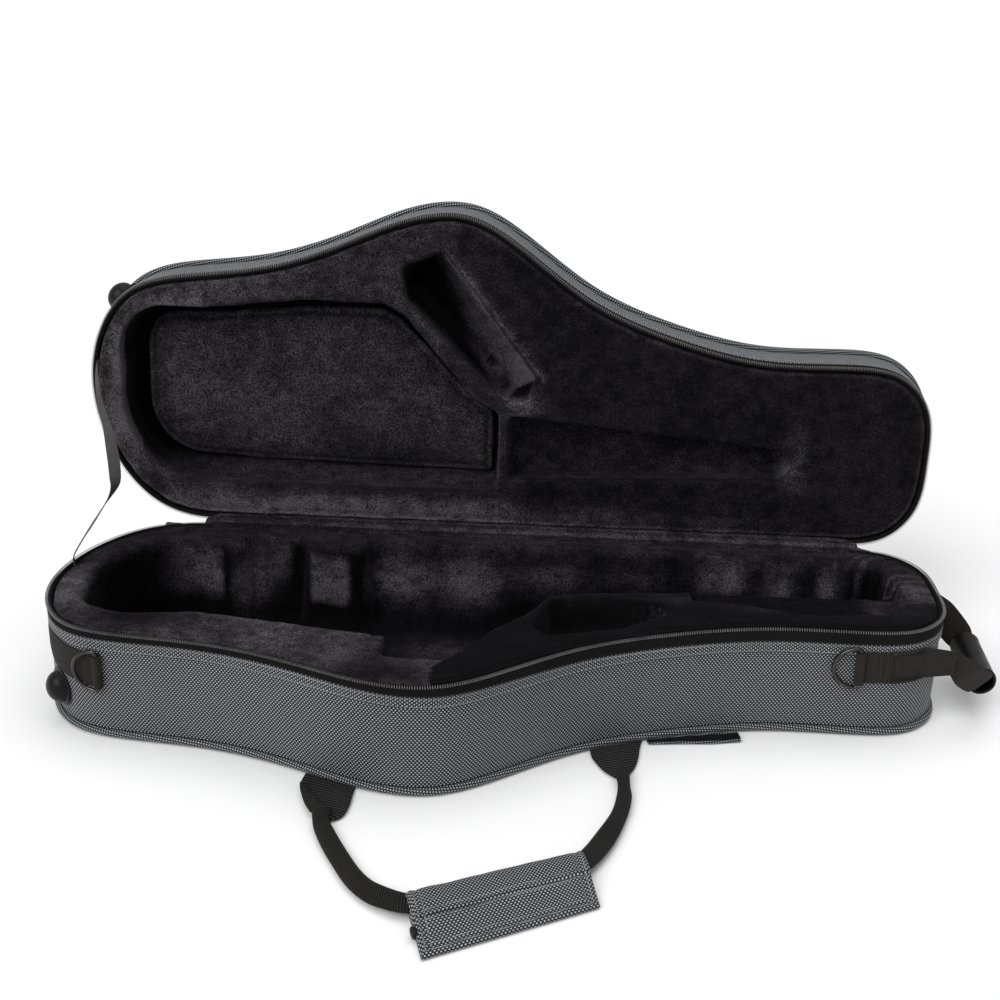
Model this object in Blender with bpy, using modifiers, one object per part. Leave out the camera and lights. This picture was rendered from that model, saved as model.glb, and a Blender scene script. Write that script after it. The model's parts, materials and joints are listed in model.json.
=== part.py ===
# Zippered, contoured soft case for an alto saxophone, lying open on its back panel.
# Metres, +Z up. The origin is the middle of the flat back panel that the case rests on.
# X runs along the case (bell end at -X), the hinge is at +Y and the carrying handle at -Y.
# The lid is drawn shut, in the axes of its hinge line, and then swung open.

import bpy
import bmesh
import math
import mathutils
import numpy as np
from mathutils import Matrix, Quaternion, Vector

# Overall size
HALF_LENGTH = 0.330          # half the length over the zipper
DEPTH = 0.250                # hinge line to the front of the bell flare
BASE_HEIGHT = 0.0852         # floor to the rim of the base
LID_HEIGHT = 0.0544          # rim of the lid to its outer face
LID_FLARE = 0.004            # how far the lid's side wall leans out
LID_OPEN_ANGLE = math.radians(97.0)

# Seat and running clearances
SEAT_GAP = 0.0003            # between pieces that touch
RIM_GAP = 0.0003             # from each rim to the parting plane
LINER_CLEARANCE = 0.0008     # liner to the inside of the wall

# Shell
WALL_THICKNESS = 0.008
WALL_INSET = 0.003           # wall face inside the outermost line
PANEL_THICKNESS = 0.006
PANEL_EDGE = 0.0012          # rounding of a panel's edge
PIPING_RADIUS = 0.0026
PIPING_LIFT = 0.0033         # piping centre above the panel's face

# Zipper, hem and hinge
ZIP_TAPE_WIDTH = 0.0117
ZIP_TAPE_THICKNESS = 0.001
ZIP_COIL_WIDTH = 0.0025
ZIP_COIL_REACH = 0.0025
HEM_WIDTH = 0.0035
HEM_THICKNESS = 0.0015
HINGE_TAPE_WIDTH = 0.024
HINGE_TAPE_THICKNESS = 0.0018

# Webbing
WEBBING_WIDTH = 0.025
WEBBING_THICKNESS = 0.0016
BAND_HEIGHT = 0.0565         # middle of the end bands above the floor
RING_DROP = 0.003            # how much the bell end's band sinks to its D-ring

# D-rings
RING_WIRE = 0.0015
RING_BAR_LENGTH = 0.031
RING_REACH = 0.0185
RING_PLAY = 0.0005
KEEPER_WALL = 0.0014
KEEPER_TAIL = 0.009

# Rubber feet
FOOT_FLANGE_RADIUS = 0.0145
FOOT_FLANGE_THICKNESS = 0.0014
FOOT_DOME_RADIUS = 0.0118
FOOT_HEIGHT = 0.0115
BASE_FOOT_LIFT = 0.0275
LID_FOOT_LIFT = 0.0225

# Liner
LINER_DROP = 0.001           # liner rim below the shell's rim
LINER_ROLL = 0.006           # rolled outer edge of the liner
POCKET_LIP = 0.005
POCKET_LEAN = 0.003
RECESS_LEAN = 0.0015
NARROW_LIP = 0.002
FLOOR_PAD_THICKNESS = 0.0059   # foam left under the base's trough
LID_PAD_THICKNESS = 0.0111     # foam left behind the lid's recess
NOTCH_DEPTH = 0.030
SHELF_DEPTH = 0.015
OVAL_DEPTH = 0.026
SLOT_DEPTH = 0.026
FOAM_TOE = 0.002             # upright foot of a foam block where a pocket goes right down
PAD_THICKNESS = 0.014
TROUGH_DEPTH = BASE_HEIGHT - PANEL_THICKNESS - SEAT_GAP - FLOOR_PAD_THICKNESS - LINER_DROP
LID_RECESS_DEPTH = LID_HEIGHT - PANEL_THICKNESS - SEAT_GAP - LID_PAD_THICKNESS - LINER_DROP

# Carrying handle
STRAP_WIDTH = 0.017
STRAP_THICKNESS = 0.006
STRAP_LIFT = 0.0036           # strap's middle above the floor
STRAP_LAP_LIFT = 0.0069       # the same where it lies on a tab
TAB_LIFT = 0.0014
GRIP_LENGTH = 0.119
GRIP_WIDTH = 0.062
GRIP_THICKNESS = 0.0145
GRIP_EDGE_THICKNESS = 0.006
GRIP_SKIN = 0.0026
GRIP_LIFT = 0.0006
SNAP_RADIUS = 0.0045
SNAP_THICKNESS = 0.0022

# Grab handle on the mouthpiece end
GRAB_REACH = 0.028
GRAB_DROP = 0.028
GRAB_TUBE_RADIUS = 0.011
GRAB_TUBE_LENGTH = 0.058
GRAB_STRAP_WIDTH = 0.014
GRAB_STRAP_THICKNESS = 0.0026
GRAB_ROOT_WIDTH = 0.010
GRAB_PIVOT_GAP = 0.004        # pivots beyond the end of the case
GRAB_SPAN_SHARE = 0.416       # of the case's depth
GRAB_MIDDLE_SHARE = 0.310     # hinge line to the middle of the handle
GRAB_PIVOT_X = HALF_LENGTH + GRAB_PIVOT_GAP
GRAB_SPAN = DEPTH * GRAB_SPAN_SHARE
GRAB_MIDDLE = DEPTH * GRAB_MIDDLE_SHARE

# Zipper sliders
SLIDER_LENGTH = 0.014
SLIDER_HEIGHT = 0.010
SLIDER_THICKNESS = 0.0032
PULL_LENGTH = 0.026
PULL_WIDTH = 0.008
PULL_THICKNESS = 0.0016
PULL_EYE = 0.0014

# Stay strap that stops the lid
STAY_WIDTH = 0.020
STAY_THICKNESS = 0.0008

# Fabric tab at the front edge of the back panel
TAB_FLAP_REACH = 0.013
TAB_FLAP_THICKNESS = 0.0022
FLAP_PIVOT_GAP = 0.0007

# Facets
OUTLINE_STEPS = 66
FLAT_RADIUS = 0.4
FILLET_STEPS = 4
MERGE = 0.00001                # points closer than this are one
WELD = 0.00005
MIN_CORNER = 0.0006
FIT_STEP = 0.002             # least step between two outline points

HINGE_Y = DEPTH / 2
COIL_INSET = WALL_INSET - SEAT_GAP

# The case's outline, from the hinge's bell end, round the front, to its mouthpiece end:
# along the case as a share of HALF_LENGTH, and from the hinge as a share of DEPTH.
OUTLINE_SHARES = [
    (-0.706, 0.000), (-0.836, 0.040), (-0.945, 0.188), (-0.997, 0.388), (-0.988, 0.568),
    (-0.906, 0.736), (-0.758, 0.794), (-0.585, 0.824), (-0.388, 0.908), (-0.233, 0.988),
    (-0.100, 0.998), (0.024, 0.912), (0.194, 0.752), (0.400, 0.640), (0.606, 0.582),
    (0.800, 0.580), (0.930, 0.548), (0.992, 0.450), (1.003, 0.288), (0.983, 0.120),
    (0.916, 0.026), (0.820, 0.000),
]

# Pockets of the moulded liners. Each corner is a share of HALF_LENGTH, a share of DEPTH,
# and the share of DEPTH that rounds it.
TROUGH_SHARES = [
    (-0.918, 0.634, 0.190), (-0.600, 0.618, 0.200), (-0.233, 0.704, 0.240), (-0.050, 0.720, 0.080),
    (0.064, 0.552, 0.080), (0.118, 0.410, 0.070), (0.452, 0.346, 0.024), (0.462, 0.256, 0.024),
    (0.900, 0.244, 0.040), (0.900, 0.088, 0.120), (0.742, 0.084, 0.020), (0.724, 0.116, 0.020),
    (0.556, 0.116, 0.020), (0.538, 0.084, 0.020), (-0.310, 0.084, 0.020), (-0.325, 0.146, 0.020),
    (-0.454, 0.146, 0.020), (-0.470, 0.084, 0.020), (-0.604, 0.084, 0.020), (-0.624, 0.154, 0.024),
    (-0.830, 0.154, 0.100), (-0.914, 0.320, 0.160),
]
NOTCH_SHARES = [
    (-0.224, 0.600, 0.020), (-0.224, 0.828, 0.028), (-0.088, 0.838, 0.036), (0.012, 0.640, 0.036),
    (-0.020, 0.560, 0.020),
]
SHELF_SHARES = [
    (0.436, 0.180, 0.020), (0.436, 0.416, 0.024), (0.570, 0.436, 0.080), (0.720, 0.476, 0.080),
    (0.885, 0.446, 0.060), (0.918, 0.380, 0.050), (0.918, 0.200, 0.040),
]
OVAL_SHARES = [
    (0.086, 0.612, 0.040), (0.122, 0.448, 0.040), (0.240, 0.420, 0.080), (0.368, 0.440, 0.040),
    (0.386, 0.510, 0.040), (0.280, 0.604, 0.080), (0.118, 0.676, 0.036),
]
RECESS_SHARES = [
    (-0.924, 0.690, 0.190), (-0.720, 0.690, 0.160), (-0.500, 0.722, 0.160), (-0.296, 0.722, 0.040),
    (-0.240, 0.676, 0.040), (-0.085, 0.440, 0.030), (-0.018, 0.386, 0.016), (-0.018, 0.126, 0.030),
    (-0.924, 0.126, 0.300),
]
PAD_SHARES = [
    (-0.884, 0.664, 0.170), (-0.720, 0.664, 0.150), (-0.500, 0.692, 0.150), (-0.300, 0.692, 0.036),
    (-0.258, 0.660, 0.036), (-0.098, 0.436, 0.026), (-0.030, 0.378, 0.012), (-0.030, 0.166, 0.012),
    (-0.600, 0.176, 0.100), (-0.884, 0.196, 0.250),
]
NECK_POCKET_SHARES = [
    (-0.258, 0.836, 0.030), (-0.158, 0.892, 0.026), (0.068, 0.510, 0.026), (0.050, 0.430, 0.026),
    (-0.014, 0.428, 0.016), (-0.246, 0.736, 0.030),
]
SLOT_SHARES = [
    (0.002, 0.380, 0.012), (0.300, 0.346, 0.100), (0.656, 0.304, 0.036), (0.692, 0.256, 0.036),
    (0.656, 0.200, 0.036), (0.002, 0.168, 0.012),
]

# Joints of the foam, as shares of HALF_LENGTH and DEPTH.
BELL_JOINT_SHARE = -0.455
END_JOINT_SHARE = 0.425
RIDGE_JOINT_SHARE = -0.030
WELL_SHARE = 0.24
NECK_LINE_SHARES = ((-0.206, 0.788), (0.055, 0.452))

# Where things stand on the outline, as shares of its run from the hinge's bell end.
FOOT_SHARES = (0.215, 0.105)
LEFT_BAND_SHARE = 0.055
LEFT_RING_SHARE = 0.2555
RIGHT_RING_SHARE = 0.7885
PLEAT_SHARE = 0.012
FRONT_PATCH_SHARE = 0.836
REAR_PATCH_SHARES = (0.985, 0.966)
SLIDER_SHARES = (0.030, 0.986)
STAY_BASE_SHARE = 0.130
STAY_LID_SHARE = 0.165
FLAP_SHARES = (0.6465, 0.7105)

# The carrying handle, as shares of HALF_LENGTH and DEPTH.
TAB_SHARES = ((0.403, 0.4375), (0.608, 0.644))
TAB_END_SHARES = ((-0.312, 1.152), (0.292, 0.884))
STRAP_LEFT_SHARES = [
    (-0.316, 1.118), (-0.302, 1.180), (-0.264, 1.280), (-0.224, 1.372), (-0.190, 1.430),
]
STRAP_RIGHT_SHARES = [
    (0.256, 1.160), (0.280, 1.056), (0.290, 0.960), (0.291, 0.905), (0.290, 0.858),
]
GRIP_MIDDLE_SHARES = (0.065, 1.434)
GRIP_ANGLE = math.radians(26.5)
GRIP_STRAP_SHARE = 0.32      # strap's place across the grip, from its middle
LID_TAB_END_SHARES = ((-0.310, 0.755), (0.284, 0.560))
LID_STRAP_SHARES = [
    (-0.314, 0.788), (-0.290, 0.650), (-0.235, 0.500), (-0.130, 0.415), (0.000, 0.375), (0.120, 0.365),
    (0.215, 0.400), (0.262, 0.480), (0.287, 0.592),
]

# Colours as red, green, blue
WEAVE_GREY = (0.105, 0.115, 0.125)
PLUSH_BLACK = (0.018, 0.016, 0.020)
WEBBING_BLACK = (0.022, 0.020, 0.018)
TAPE_BLACK = (0.010, 0.010, 0.011)
RUBBER_BLACK = (0.014, 0.014, 0.015)
NICKEL_BLACK = (0.075, 0.070, 0.068)
RIBBON_TAUPE = (0.180, 0.165, 0.155)

for old in list(bpy.data.objects):
    bpy.data.objects.remove(old, do_unlink=True)
case = bpy.data.collections.new("alto_saxophone_case")
bpy.context.scene.collection.children.link(case)


def make_material(name, colour, roughness, metallic=0.0):
    made = bpy.data.materials.new(name)
    made.use_nodes = True
    shader = made.node_tree.nodes["Principled BSDF"]
    shader.inputs["Base Color"].default_value = (*colour, 1.0)
    shader.inputs["Roughness"].default_value = roughness
    shader.inputs["Metallic"].default_value = metallic
    made.diffuse_color = (*colour, 1.0)
    return made


weave = make_material("ballistic_weave", WEAVE_GREY, 0.75)
plush = make_material("plush", PLUSH_BLACK, 0.95)
webbing = make_material("webbing", WEBBING_BLACK, 0.8)
zip_black = make_material("zip_tape", TAPE_BLACK, 0.7)
rubber = make_material("rubber", RUBBER_BLACK, 0.45)
nickel = make_material("black_nickel", NICKEL_BLACK, 0.25, 1.0)
ribbon_cloth = make_material("ribbon", RIBBON_TAUPE, 0.85)


def add_object(name, data, material, parent=None):
    obj = bpy.data.objects.new(name, data)
    case.objects.link(obj)
    obj.parent = parent
    obj.data.materials.append(material)
    return obj


def add_pivot(name, place, parent=None):
    pivot = bpy.data.objects.new(name, None)
    case.objects.link(pivot)
    pivot.location = place
    pivot.parent = parent
    return pivot


# The outline and what follows it

def clamped_spline(points, steps):
    """Points along a smooth cubic that leaves and arrives parallel to the hinge."""
    points = np.array(points)
    chords = np.hypot(*np.diff(points, axis=0).T)
    count = len(points)
    matrix = np.zeros((count, count))
    right = np.zeros((count, 2))
    matrix[0, 0] = matrix[-1, -1] = 1.0
    right[0] = right[-1] = (-1.0, 0.0)
    for i in range(1, count - 1):
        before, after = chords[i - 1], chords[i]
        matrix[i, i - 1:i + 2] = (after, 2 * (before + after), before)
        right[i] = 3 * (after * (points[i] - points[i - 1]) / before
                        + before * (points[i + 1] - points[i]) / after)
    slopes = np.linalg.solve(matrix, right)
    run = []
    for i, chord in enumerate(chords):
        t = np.linspace(0.0, 1.0, steps, endpoint=False)[:, None]
        run.append((1 + 2 * t) * (1 - t) ** 2 * points[i] + t * (1 - t) ** 2 * chord * slopes[i]
                   + t * t * (3 - 2 * t) * points[i + 1] + t * t * (t - 1) * chord * slopes[i + 1])
    return np.vstack(run + [points[-1:]])


def run_lengths(points):
    return np.concatenate([[0.0], np.cumsum(np.hypot(*np.diff(points, axis=0).T))])


def at_run(points, lengths, wanted):
    return np.stack([np.interp(wanted, lengths, points[:, k]) for k in range(points.shape[1])], axis=1)


def outward(points):
    """Unit normals of an open run, on the side away from the case's middle."""
    along = np.gradient(points, axis=0)
    along /= np.hypot(*along.T)[:, None]
    return np.stack([along[:, 1], -along[:, 0]], axis=1) * -1.0


FINE_STEPS = 40
fine_outline = clamped_spline([(x * HALF_LENGTH, d * DEPTH) for x, d in OUTLINE_SHARES], FINE_STEPS)
fine_lengths = run_lengths(fine_outline)
OUTLINE_RUN = fine_lengths[-1]


def spaced_outline(steps):
    """Outline points, closer together where it turns tightly."""
    along = np.gradient(fine_outline, axis=0)
    heading = np.unwrap(np.arctan2(along[:, 1], along[:, 0]))
    bend = np.abs(np.gradient(heading)) / np.gradient(fine_lengths)
    weight = np.sqrt(bend + 1.0 / FLAT_RADIUS)
    pace = np.concatenate([[0.0], np.cumsum((weight[1:] + weight[:-1]) / 2 * np.diff(fine_lengths))])
    return np.interp(np.linspace(0.0, pace[-1], steps), pace, fine_lengths)


fine_normals = outward(fine_outline)
OUTLINE_AT = spaced_outline(OUTLINE_STEPS)


def outline_at(lengths, offset):
    """Points at given runs of the outline, moved outwards by offset."""
    points = at_run(fine_outline, fine_lengths, lengths)
    normals = at_run(fine_normals, fine_lengths, lengths)
    normals /= np.hypot(*normals.T)[:, None]
    return points + normals * offset


def stretch(first_share, last_share):
    """Runs of the outline between two shares, at the outline's own points."""
    first, last = first_share * OUTLINE_RUN, last_share * OUTLINE_RUN
    inner = OUTLINE_AT[(OUTLINE_AT > first + FIT_STEP) & (OUTLINE_AT < last - FIT_STEP)]
    return np.concatenate([[first], inner, [last]])


class Tray:
    """Base or lid: places a point by its run along X, distance from the hinge and depth
    into the tray from the parting plane."""

    def __init__(self, name, parent, hinge_y, rim_z, side, height, flare):
        self.name, self.parent, self.side = name, parent, side
        self.hinge_y, self.rim_z = hinge_y, rim_z
        self.height, self.flare = height, flare

    def place(self, x, d, h):
        return Vector((x, self.hinge_y - d, self.rim_z + self.side * h))

    def loop(self, offset, h):
        return [self.place(x, d, h) for x, d in outline_at(OUTLINE_AT, offset)]

    def lean(self, h):
        return self.flare * h / self.height


lid_hinge = add_pivot("lid_hinge", (0.0, HINGE_Y, BASE_HEIGHT))
lid_hinge.rotation_euler.x = -LID_OPEN_ANGLE
BASE = Tray("base", None, HINGE_Y, BASE_HEIGHT, -1, BASE_HEIGHT, 0.0)
LID = Tray("lid", lid_hinge, 0.0, 0.0, 1, LID_HEIGHT, LID_FLARE)


# Mesh and curve helpers

def mesh_from(name, bm):
    bmesh.ops.recalc_face_normals(bm, faces=bm.faces)
    mesh = bpy.data.meshes.new(name)
    bm.to_mesh(mesh)
    bm.free()
    return mesh


def loft_mesh(name, rings, closed=False):
    """Skin over rings of equal count; the ends are capped, or joined when closed."""
    bm = bmesh.new()
    made = [[bm.verts.new(point) for point in ring] for ring in rings]
    count = len(rings[0])
    pairs = list(zip(made, made[1:]))
    if closed:
        pairs.append((made[-1], made[0]))
    for low, high in pairs:
        for i in range(count):
            j = (i + 1) % count
            bm.faces.new((low[i], low[j], high[j], high[i]))
    if not closed:
        bm.faces.new(made[0])
        bm.faces.new(reversed(made[-1]))
    return mesh_from(name, bm)


def loft(name, rings, material, parent=None, closed=False):
    return add_object(name, loft_mesh(name, rings, closed), material, parent)


def section(middle, across, through):
    """Corners of a flat strip's section from its two half-size vectors."""
    return [middle - across - through, middle + across - through,
            middle + across + through, middle - across + through]


def flat_curve(name, loops, thickness):
    """A flat outline with its holes, extruded to a thickness about its own plane."""
    curve = bpy.data.curves.new(name, "CURVE")
    curve.dimensions = "2D"
    curve.fill_mode = "BOTH"
    curve.extrude = thickness / 2
    for loop in loops:
        spline = curve.splines.new("POLY")
        spline.points.add(len(loop) - 1)
        for point, (x, y) in zip(spline.points, loop):
            point.co = (x, y, 0.0, 1.0)
        spline.use_cyclic_u = True
    return curve


def tube_curve(name, points, radius, resolution=1, cyclic=False):
    curve = bpy.data.curves.new(name, "CURVE")
    curve.dimensions = "3D"
    curve.bevel_depth = radius
    curve.bevel_resolution = resolution
    curve.use_fill_caps = not cyclic
    spline = curve.splines.new("POLY")
    spline.points.add(len(points) - 1)
    for point, place in zip(spline.points, points):
        point.co = (*place, 1.0)
    spline.use_cyclic_u = cyclic
    return curve


def round_edges(obj, width, segments=1):
    weld = obj.modifiers.new("weld", "WELD")
    weld.merge_threshold = WELD
    bevel = obj.modifiers.new("edges", "BEVEL")
    bevel.width = width
    bevel.segments = segments
    bevel.limit_method = "ANGLE"
    bevel.angle_limit = math.radians(50.0)


def rounded_outline(shares, grow=0.0):
    """Corners given as shares, moved outwards by grow and each rounded by an arc, as x and
    distance from the hinge."""
    corners = np.array([(x * HALF_LENGTH, d * DEPTH) for x, d, r in shares])
    following = np.roll(corners, -1, axis=0)
    ahead = following - corners
    sense = np.sign((corners[:, 0] * following[:, 1] - following[:, 0] * corners[:, 1]).sum())
    normals = np.stack([ahead[:, 1], -ahead[:, 0]], axis=1) * sense / np.hypot(*ahead.T)[:, None]
    before = np.roll(normals, 1, axis=0)
    swell = np.sign(before[:, 0] * normals[:, 1] - before[:, 1] * normals[:, 0]) * sense
    corners = corners + grow * (before + normals) / (1.0 + (before * normals).sum(axis=1))[:, None]
    radii = np.maximum([r * DEPTH for x, d, r in shares] + grow * swell, MIN_CORNER)
    loop = []
    for i, here in enumerate(corners):
        to_last = corners[i - 1] - here
        to_next = corners[(i + 1) % len(corners)] - here
        last_length, next_length = np.hypot(*to_last), np.hypot(*to_next)
        to_last, to_next = to_last / last_length, to_next / next_length
        half_turn = math.acos(np.clip(to_last @ to_next, -1.0, 1.0)) / 2
        reach = min(radii[i] / math.tan(half_turn), 0.48 * last_length, 0.48 * next_length)
        start, end = here + to_last * reach, here + to_next * reach
        for t in np.linspace(0.0, 1.0, FILLET_STEPS):
            weight = 2 * t * (1 - t) * math.sin(half_turn)
            loop.append(((1 - t) ** 2 * start + weight * here + t ** 2 * end)
                        / ((1 - t) ** 2 + weight + t ** 2))
    return np.array(loop)


# Shell

def make_side_wall(tray):
    near = RIM_GAP
    far = tray.height - PANEL_THICKNESS - SEAT_GAP
    outer, inner = -WALL_INSET, -WALL_INSET - WALL_THICKNESS
    rings = [tray.loop(outer + tray.lean(near), near), tray.loop(outer + tray.lean(far), far),
             tray.loop(inner + tray.lean(far), far), tray.loop(inner + tray.lean(near), near)]
    return loft(tray.name + "_side_wall", rings, weave, tray.parent, closed=True)


def make_panel(tray, name):
    edge = -2 * PIPING_RADIUS - SEAT_GAP + tray.flare
    loop = [(x, -d) for x, d in outline_at(OUTLINE_AT, edge)]
    obj = add_object(name, flat_curve(name, [loop], PANEL_THICKNESS), weave, tray.parent)
    obj.location = tray.place(0.0, 0.0, tray.height - PANEL_THICKNESS / 2)
    round_edges(obj, PANEL_EDGE)
    return obj


def make_piping(tray):
    points = tray.loop(tray.flare - PIPING_RADIUS, tray.height - PIPING_LIFT)
    name = tray.name + "_piping"
    return add_object(name, tube_curve(name, points, PIPING_RADIUS, cyclic=True), weave, tray.parent)


# Zipper, hem and hinge

def make_zipper_half(tray):
    """Tape along the rim with the coil's bead on its outer edge."""
    root = -COIL_INSET
    profile = [(root, RIM_GAP), (root + ZIP_COIL_REACH, RIM_GAP),
               (root + ZIP_COIL_REACH, RIM_GAP + ZIP_COIL_WIDTH),
               (root + ZIP_TAPE_THICKNESS, RIM_GAP + ZIP_COIL_WIDTH),
               (root + ZIP_TAPE_THICKNESS, RIM_GAP + ZIP_TAPE_WIDTH), (root, RIM_GAP + ZIP_TAPE_WIDTH)]
    columns = [[tray.place(x, d, h) for x, d in outline_at(OUTLINE_AT, offset + tray.lean(h))]
               for offset, h in profile]
    rings = [list(ring) for ring in zip(*columns)]
    return loft(tray.name + "_zipper_half", rings, zip_black, tray.parent)


def make_rim_strip(tray, name, near, width, thickness, material, lengths):
    """A strip lying on the wall below the rim, from one run of the outline to another."""
    root = -COIL_INSET
    profile = [(root, near), (root + thickness, near),
               (root + thickness, near + width), (root, near + width)]
    columns = [[tray.place(x, d, h) for x, d in outline_at(lengths, offset + tray.lean(h))]
               for offset, h in profile]
    return loft(name, [list(ring) for ring in zip(*columns)], material, tray.parent)


def make_hem_band(tray):
    near = RIM_GAP + ZIP_TAPE_WIDTH + SEAT_GAP
    name = tray.name + "_hem_band"
    return make_rim_strip(tray, name, near, HEM_WIDTH, HEM_THICKNESS, weave, OUTLINE_AT)


def make_hinge_tape(tray):
    """Half of the cloth hinge, flat on the wall along the straight back."""
    first = OUTLINE_SHARES[0][0] * HALF_LENGTH + SEAT_GAP
    last = OUTLINE_SHARES[-1][0] * HALF_LENGTH - SEAT_GAP
    root = -COIL_INSET
    near, far = RIM_GAP, RIM_GAP + HINGE_TAPE_WIDTH
    rings = []
    for x in (first, last):
        rings.append([tray.place(x, -(root + thick) - tray.lean(h), h)
                      for thick, h in ((0.0, near), (HINGE_TAPE_THICKNESS, near),
                                       (HINGE_TAPE_THICKNESS, far), (0.0, far))])
    return loft(tray.name + "_hinge_tape", rings, webbing, tray.parent)


# Liners

def inside_distance(points, loop):
    """Distance of each point from a closed loop, positive inside it."""
    ahead = np.roll(loop, -1, axis=0)
    step = ahead - loop
    away = points[:, None, :] - loop[None, :, :]
    t = np.clip((away * step).sum(axis=2) / (step ** 2).sum(axis=1), 0.0, 1.0)
    near = np.hypot(*(away - t[..., None] * step).transpose(2, 0, 1)).min(axis=1)
    y, low, high = points[:, 1, None], loop[None, :, 1], ahead[None, :, 1]
    crosses = (low > y) != (high > y)
    rise = np.where(high == low, 1.0, high - low)
    at = loop[None, :, 0] + (y - low) / rise * step[None, :, 0]
    inside = (crosses & (points[:, 0, None] < at)).sum(axis=1) % 2 == 1
    return np.where(inside, near, -near)


def pocket_profile(depth, lip, lean, floor_round):
    """Distance inside a pocket's edge against depth: flared lip, leaning wall, round floor."""
    distances = [-lip, -lip * 0.3, 0.0, lean, lean + floor_round * 0.3, lean + floor_round]
    depths = [0.0, lip * 0.3, lip, depth - floor_round, depth - floor_round * 0.3, depth]
    return distances, depths


def well_profile(depth, lip, lean):
    """The same for a pocket that goes right down to the floor pad."""
    return [-lip, -lip * 0.3, 0.0, lean], [0.0, lip * 0.3, lip, depth - FOAM_TOE]


def parallel_cuts(first, second):
    """Two lines a seat gap apart, for the joint between two foam blocks."""
    first, second = np.array(first), np.array(second)
    along = (second - first) / np.hypot(*(second - first))
    square = np.array((along[1], -along[0])) * SEAT_GAP / 2
    return [[first + square, second + square], [first - square, second - square]]


def make_foam(tray, floor_depth, wells, pockets, joints, blocks):
    """Moulded foam that fills the tray above its floor pad, in blocks with butt joints."""
    side = -WALL_INSET - WALL_THICKNESS - LINER_CLEARANCE
    edge = outline_at(OUTLINE_AT, side)
    holes = [rounded_outline(shares, -sizes[2]) for shares, sizes in wells]
    shaped = [(shares, well_profile(*sizes)) for shares, sizes in wells]
    shaped += [(shares, pocket_profile(*sizes)) for shares, sizes in pockets]
    roll = ([0.0, LINER_ROLL * 0.3, LINER_ROLL], [LINER_ROLL, LINER_ROLL * 0.3, 0.0])
    levels = [outline_at(OUTLINE_AT, side - distance) for distance in roll[0][1:]]
    levels += [rounded_outline(shares, -distance) for shares, profile in shaped
               for distance in profile[0]]
    points, edges = list(edge), []
    for level in levels:
        first = len(points)
        points += list(level)
        edges += [(first + i, first + (i + 1) % len(level)) for i in range(len(level))]
    for ends in joints:
        for cut in parallel_cuts(*ends):
            edges.append((len(points), len(points) + 1))
            points += cut
    plan = [Vector(p) for p in points]
    found = mathutils.geometry.delaunay_2d_cdt(plan, edges, [list(range(len(edge)))], 1, MERGE)
    flat, faces = np.array([tuple(v) for v in found[0]]), np.array(found[2])
    depth = np.interp(inside_distance(flat, edge), *roll)
    for shares, profile in shaped:
        depth = np.maximum(depth, np.interp(inside_distance(flat, rounded_outline(shares)), *profile))
    middles = flat[faces].mean(axis=1)
    solid = inside_distance(middles, edge) > 0.0
    for hole in holes:
        solid &= inside_distance(middles, hole) < 0.0
    for ends in joints:
        first, second = np.array(ends[0]), np.array(ends[1])
        reach = np.hypot(*(second - first))
        along = (second - first) / reach
        off = (middles - first) @ np.array((along[1], -along[0]))
        part = (middles - first) @ along
        solid &= (np.abs(off) > SEAT_GAP / 2) | (part < 0.0) | (part > reach)
    for name, owns in blocks:
        chosen = faces[solid & owns(middles[:, 0], middles[:, 1])]
        make_foam_block(tray, name, flat, depth, chosen, LINER_DROP + floor_depth - SEAT_GAP)
    slab = LINER_DROP + floor_depth
    base = tray.height - PANEL_THICKNESS - SEAT_GAP
    curve = flat_curve(tray.name + "_floor_pad", [[(x, -d) for x, d in edge]], base - slab)
    pad = add_object(tray.name + "_floor_pad", curve, plush, tray.parent)
    pad.location = tray.place(0.0, 0.0, (slab + base) / 2)


def make_foam_block(tray, name, flat, depth, faces, foot):
    """One block: its moulded top, upright sides and a flat foot."""
    bm = bmesh.new()
    top = {i: bm.verts.new(tray.place(*flat[i], LINER_DROP + depth[i])) for i in np.unique(faces)}
    plan = {vert: flat[i] for i, vert in top.items()}
    for face in faces:
        bm.faces.new([top[i] for i in face])
    rim = [edge for edge in bm.edges if edge.is_boundary]
    ahead = {edge.link_loops[0].vert: edge.link_loops[0].link_loop_next.vert for edge in rim}
    here = next(iter(ahead))
    around = []
    while here not in around:
        around.append(here)
        here = ahead[here]
    low = [bm.verts.new(tray.place(*plan[vert], foot)) for vert in around]
    for i in range(len(around)):
        j = (i + 1) % len(around)
        bm.faces.new((around[i], around[j], low[j], low[i]))
    shore = [Vector(plan[vert]) for vert in around]
    found = mathutils.geometry.delaunay_2d_cdt(shore, [], [list(range(len(shore)))], 1, MERGE)
    for face in found[2]:
        bm.faces.new([low[found[3][i][0]] for i in face])
    return add_object(name, mesh_from(name, bm), plush, tray.parent)


def make_bell_pad():
    """Cushion that presses on the bell; it stands on the floor of the lid's recess."""
    floor = LINER_DROP + LID_RECESS_DEPTH - SEAT_GAP
    loop = rounded_outline(PAD_SHARES)
    middle = loop.mean(axis=0)
    levels = [(0.975, 0.0), (1.0, 0.25), (1.0, 0.62), (0.96, 0.86), (0.85, 0.96), (0.5, 1.0)]
    rings = [[LID.place(x, d, floor - rise * PAD_THICKNESS) for x, d in middle + (loop - middle) * shrink]
             for shrink, rise in levels]
    return loft("bell_pad", rings, plush, LID.parent)


# Webbing on the walls

def wall_frame(share, h_above_floor):
    """Point, outward and along directions on the base's wall."""
    run = np.array([share * OUTLINE_RUN])
    (x, d), = outline_at(run, -WALL_INSET)
    (xo, do), = outline_at(run, 0.0)
    point = Vector((x, HINGE_Y - d, h_above_floor))
    away = Vector((xo - x, d - do, 0.0)).normalized()
    along = Vector((-away.y, away.x, 0.0))
    return point, away, along


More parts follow.
